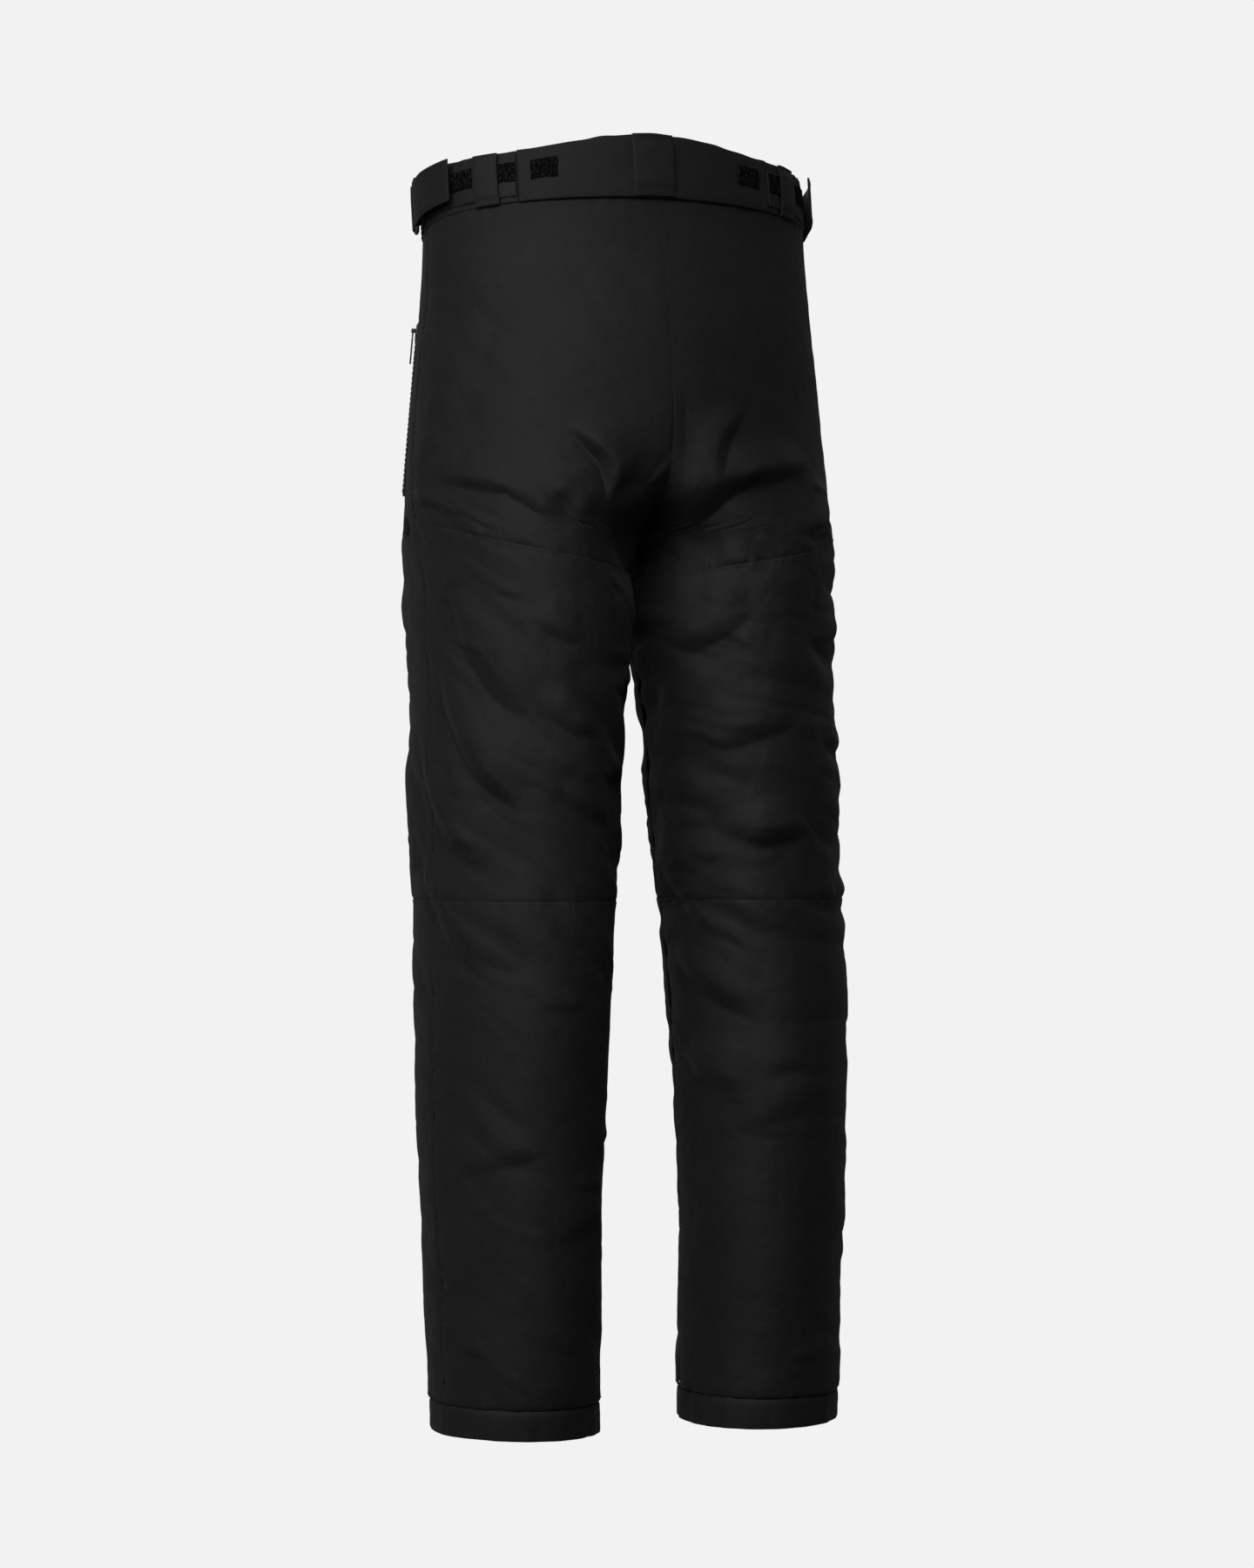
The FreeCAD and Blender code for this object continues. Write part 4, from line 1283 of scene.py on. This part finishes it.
def gaiter_cut():
    """The gaiter's flat piece: its width and length, and its area as it narrows, in metres."""
    _, _, half_width, half_depth, _ = [float(value) for value in section(GAITER_TOP_Z)]
    top = ellipse_round(half_width - GAITER_INSET, half_depth - GAITER_INSET)
    bottom = ellipse_round(BOOT_HALF_WIDTH, BOOT_HALF_DEPTH) * GAITER_GATHER
    inwards = (half_width + half_depth - BOOT_HALF_WIDTH - BOOT_HALF_DEPTH) / 2 - GAITER_INSET
    slant = math.hypot(GAITER_TOP_Z - GAITER_BOTTOM_Z, inwards)
    return top * MM, slant * MM, (top + bottom) / 2 * slant * MM * MM


def lining(side):
    """The taffeta lining of one half, hung loose from the waist to the hem."""
    high, low = -62.0, HEM_Z + HEM_HEIGHT + 2
    rows, columns = 190, 91
    rise, share = np.meshgrid(np.linspace(0, 1, rows), np.linspace(-1, 1, columns), indexing="ij")
    z = high + (low - high) * rise
    for _ in range(3):
        angle = share * np.where(share > 0, last_angle(z, 1), last_angle(z, -1))
        top = waist_seam(np.clip(angle, -math.pi / 2, math.pi / 2)) + 1.0
        z = top + (low - top) * rise
    smooth = surface(side, angle, z, -5.6)
    along = angle * mean_radius(z)
    wrinkle = 0.9 * value_noise(along / 20.0, z / 42.0, 101)
    wrinkle = wrinkle + 0.4 * value_noise(along / 8.0, z / 15.0, 102)
    points = surface(side, angle, z, -5.8 + wrinkle)
    made = make_mesh("lining_cloth_" + side, points.reshape(-1, 3), grid_faces(rows, columns), LINING)
    width = 2 * math.pi * float(mean_radius(-500.0)) * MM
    finish_piece(made, "trousers", "lining_fabric", "lining_" + side)


def boot_place(side):
    """A place round the boot: degrees, height above the gaiter's lower edge, offset."""
    x, y, _, _, toe = [float(value) for value in section(HEM_Z)]

    def place(angle, height, offset):
        turn = np.radians(angle)
        across = (BOOT_HALF_WIDTH + offset) * np.cos(turn)
        along = (BOOT_HALF_DEPTH + offset) * np.sin(turn)
        px, py = toed_out(x, y, across, along, toe)
        return np.stack([MIRROR[side] * px, py, GAITER_BOTTOM_Z + height + 0 * turn], -1)

    return place


def gaiter(side):
    """Snow gaiter: a cone of lining cloth, gathered by the elastic round its edge."""
    columns, rows = 240, 46
    boot = boot_place(side)
    turns = np.linspace(-math.pi, math.pi, columns + 1)
    rise, turn = np.meshgrid(np.linspace(0, 1, rows), turns, indexing="ij")
    height = (GAITER_TOP_Z - GAITER_BOTTOM_Z) * rise
    cuff = GAITER_CUFF / (GAITER_TOP_Z - GAITER_BOTTOM_Z)
    share = np.clip((rise - cuff) / (1 - cuff), 0, 1)[..., None]
    top = surface(side, turn, np.full(turn.shape, GAITER_TOP_Z), -GAITER_INSET)
    top[..., 2] = GAITER_BOTTOM_Z + height
    wander = 1.5 * value_noise(turn * 4, rise * 3, 104)
    gather = 1.5 * np.sin(turn * 44 + wander) * (1 - share[..., 0]) ** 2
    gather = gather * smooth_step((height - 4) / 22.0) + 0.7 * value_noise(turn * 7, rise * 5, 105)
    points = boot(np.degrees(turn), height, gather - 0.4) * (1 - share) + top * share
    made = make_mesh("gaiter_cloth_" + side, points[:, :-1].reshape(-1, 3),
                     grid_faces(rows, columns, around=True), LINING)
    width, length, area = gaiter_cut()
    finish_piece(made, "trousers", "lining_fabric", "snow_gaiter_" + side)
    band = slab("gaiter_band_" + side, boot, NEARLY_ROUND, (0, GAITER_CUFF), 0.5, 1.5, ELASTIC, 0.95,
                2.4, 0.2, 106)
    finish_piece(band, "trousers", "elastic", "gaiter_elastic_" + side, fill=CLOTH_FILL)


def side_tag():
    """The plain loop of tape in the left side seam."""

    def place(along, high, offset):
        x, y, z = SIDE_TAG
        return np.stack([x + along, y + offset, z + high], -1)

    made = slab("side_tag_cloth", place, (-4, 2.5), (-7, 7), 0.0, 1.6, STRAP_CLOTH,
                step=1.6, puff=0.1, seed=107)
    finish_piece(made, "trousers", "webbing", "side_tag", fill=CLOTH_FILL)


def leg_details():
    """Stitches, zips, linings and gaiters."""
    leg_stitches()
    zips()
    side_tag()
    for side in SIDES:
        lining(side)
        gaiter(side)


# ---- stage, lights and camera --------------------------------------------------------------------


CAMERA_AZIMUTH = math.radians(160.0)
CAMERA_DISTANCE = 3.6
CAMERA_HEIGHT = -0.511
VIEW_HEIGHT = 1.3266  # metres, what the picture takes in at the garment
CAMERA_ASIDE = 0.0105
BACKDROP = 0.888
STUDIO_LIGHT = 0.12
# name, metres from the middle to the camera's side, to the picture's right and up, size, watts
LIGHTS = (
    ("key", 2.6, -1.0, 2.2, (2.8, 1.8), 136),
    ("fill", 2.2, -2.4, 0.2, (1.4, 2.6), 20),
    ("front_key", -3.2, 0.0, 2.0, (1.2, 1.8), 115),
)
FLOOR_REACH = 60000.0
SENSOR_WIDTH = 36.0


def light(name, place, target, size, power):
    """A soft rectangular light."""
    data = bpy.data.lights.new(name, "AREA")
    data.shape = "RECTANGLE"
    data.size, data.size_y = size
    data.energy = power
    made = bpy.data.objects.new(name, data)
    made.location = place
    made.rotation_euler = (Vector(target) - Vector(place)).to_track_quat("-Z", "Y").to_euler()
    bpy.context.scene.collection.objects.link(made)


def camera_basis():
    """Unit vectors from the garment to the camera and to the picture's right."""
    to_camera = Vector((math.sin(CAMERA_AZIMUTH), -math.cos(CAMERA_AZIMUTH), 0))
    return to_camera, Vector((0, 0, 1)).cross(to_camera)


def studio_world():
    """Pale to the camera, and a weak even light on the garment."""
    world = bpy.data.worlds.new("studio")
    world.use_nodes = True
    bpy.context.scene.world = world
    tree = world.node_tree
    background = tree.nodes["Background"]
    path = tree.nodes.new("ShaderNodeLightPath")
    seen = tree.nodes.new("ShaderNodeMapRange")
    seen.inputs["To Min"].default_value = STUDIO_LIGHT
    seen.inputs["To Max"].default_value = BACKDROP
    tree.links.new(path.outputs["Is Camera Ray"], seen.inputs["Value"])
    tree.links.new(seen.outputs["Result"], background.inputs["Strength"])
    background.inputs["Color"].default_value = (1, 1, 1, 1)


def pale_floor():
    """A floor that looks like the world behind it, so no horizon shows."""
    nodes = Nodes("pale_floor")
    nodes.set(Base_Color=(0, 0, 0, 1), Specular_IOR_Level=0.0, Roughness=1.0)
    nodes.set(Emission_Color=(1, 1, 1, 1))
    path = nodes.add("ShaderNodeLightPath")
    nodes.feed(Emission_Strength=nodes.span(path.outputs["Is Camera Ray"], STUDIO_LIGHT, BACKDROP))
    low = cad_low.z / MM - 12.0
    corners = [(x * FLOOR_REACH, y * FLOOR_REACH, low) for x, y in ((-1, -1), (1, -1), (1, 1), (-1, 1))]
    make_mesh("floor", corners, [(0, 1, 2, 3)], nodes.material, False)


def camera(place, to_camera):
    """The camera, level and looking straight at the garment."""
    data = bpy.data.cameras.new("camera")
    data.lens = SENSOR_WIDTH * CAMERA_DISTANCE / VIEW_HEIGHT
    data.sensor_width = SENSOR_WIDTH
    data.clip_end = 200
    made = bpy.data.objects.new("camera", data)
    made.location = place
    made.rotation_euler = (-to_camera).to_track_quat("-Z", "Y").to_euler()
    bpy.context.scene.collection.objects.link(made)
    bpy.context.scene.camera = made


def stage_and_camera():
    """A pale studio, with the camera behind the wearer and a little to the left."""
    bpy.context.scene.view_settings.view_transform = "Standard"
    studio_world()
    pale_floor()
    to_camera, right = camera_basis()
    middle = Vector((0, 0, CAMERA_HEIGHT))
    for name, near, aside, up, size, power in LIGHTS:
        place = middle + to_camera * near + right * aside + Vector((0, 0, up))
        light(name, place, middle, size, power)
    camera(middle + to_camera * CAMERA_DISTANCE + right * CAMERA_ASIDE, to_camera)


def dress_nodes():
    """Gives every carried-over node its finish."""
    finishes = {
        "lining_fabric": LINING,
        "shell_fabric": BAND_CLOTH,
        "elastic": ELASTIC,
        "hook_and_loop": LOOP_TAPE,
        "webbing": STRAP_CLOTH,
        "black_plastic": PLASTIC,
        "zip_metal": ZIP_METAL,
    }
    slots = {entry["node"]: entry["material_slot"] for entry in frame["record"]["subparts"]}
    for name, node in frame["nodes"].items():
        node.data.materials.clear()
        node.data.materials.append(finishes[slots[name]])


stage_and_camera()
dress_nodes()
outer_cloth()
waist_pieces()
leg_details()
sew()
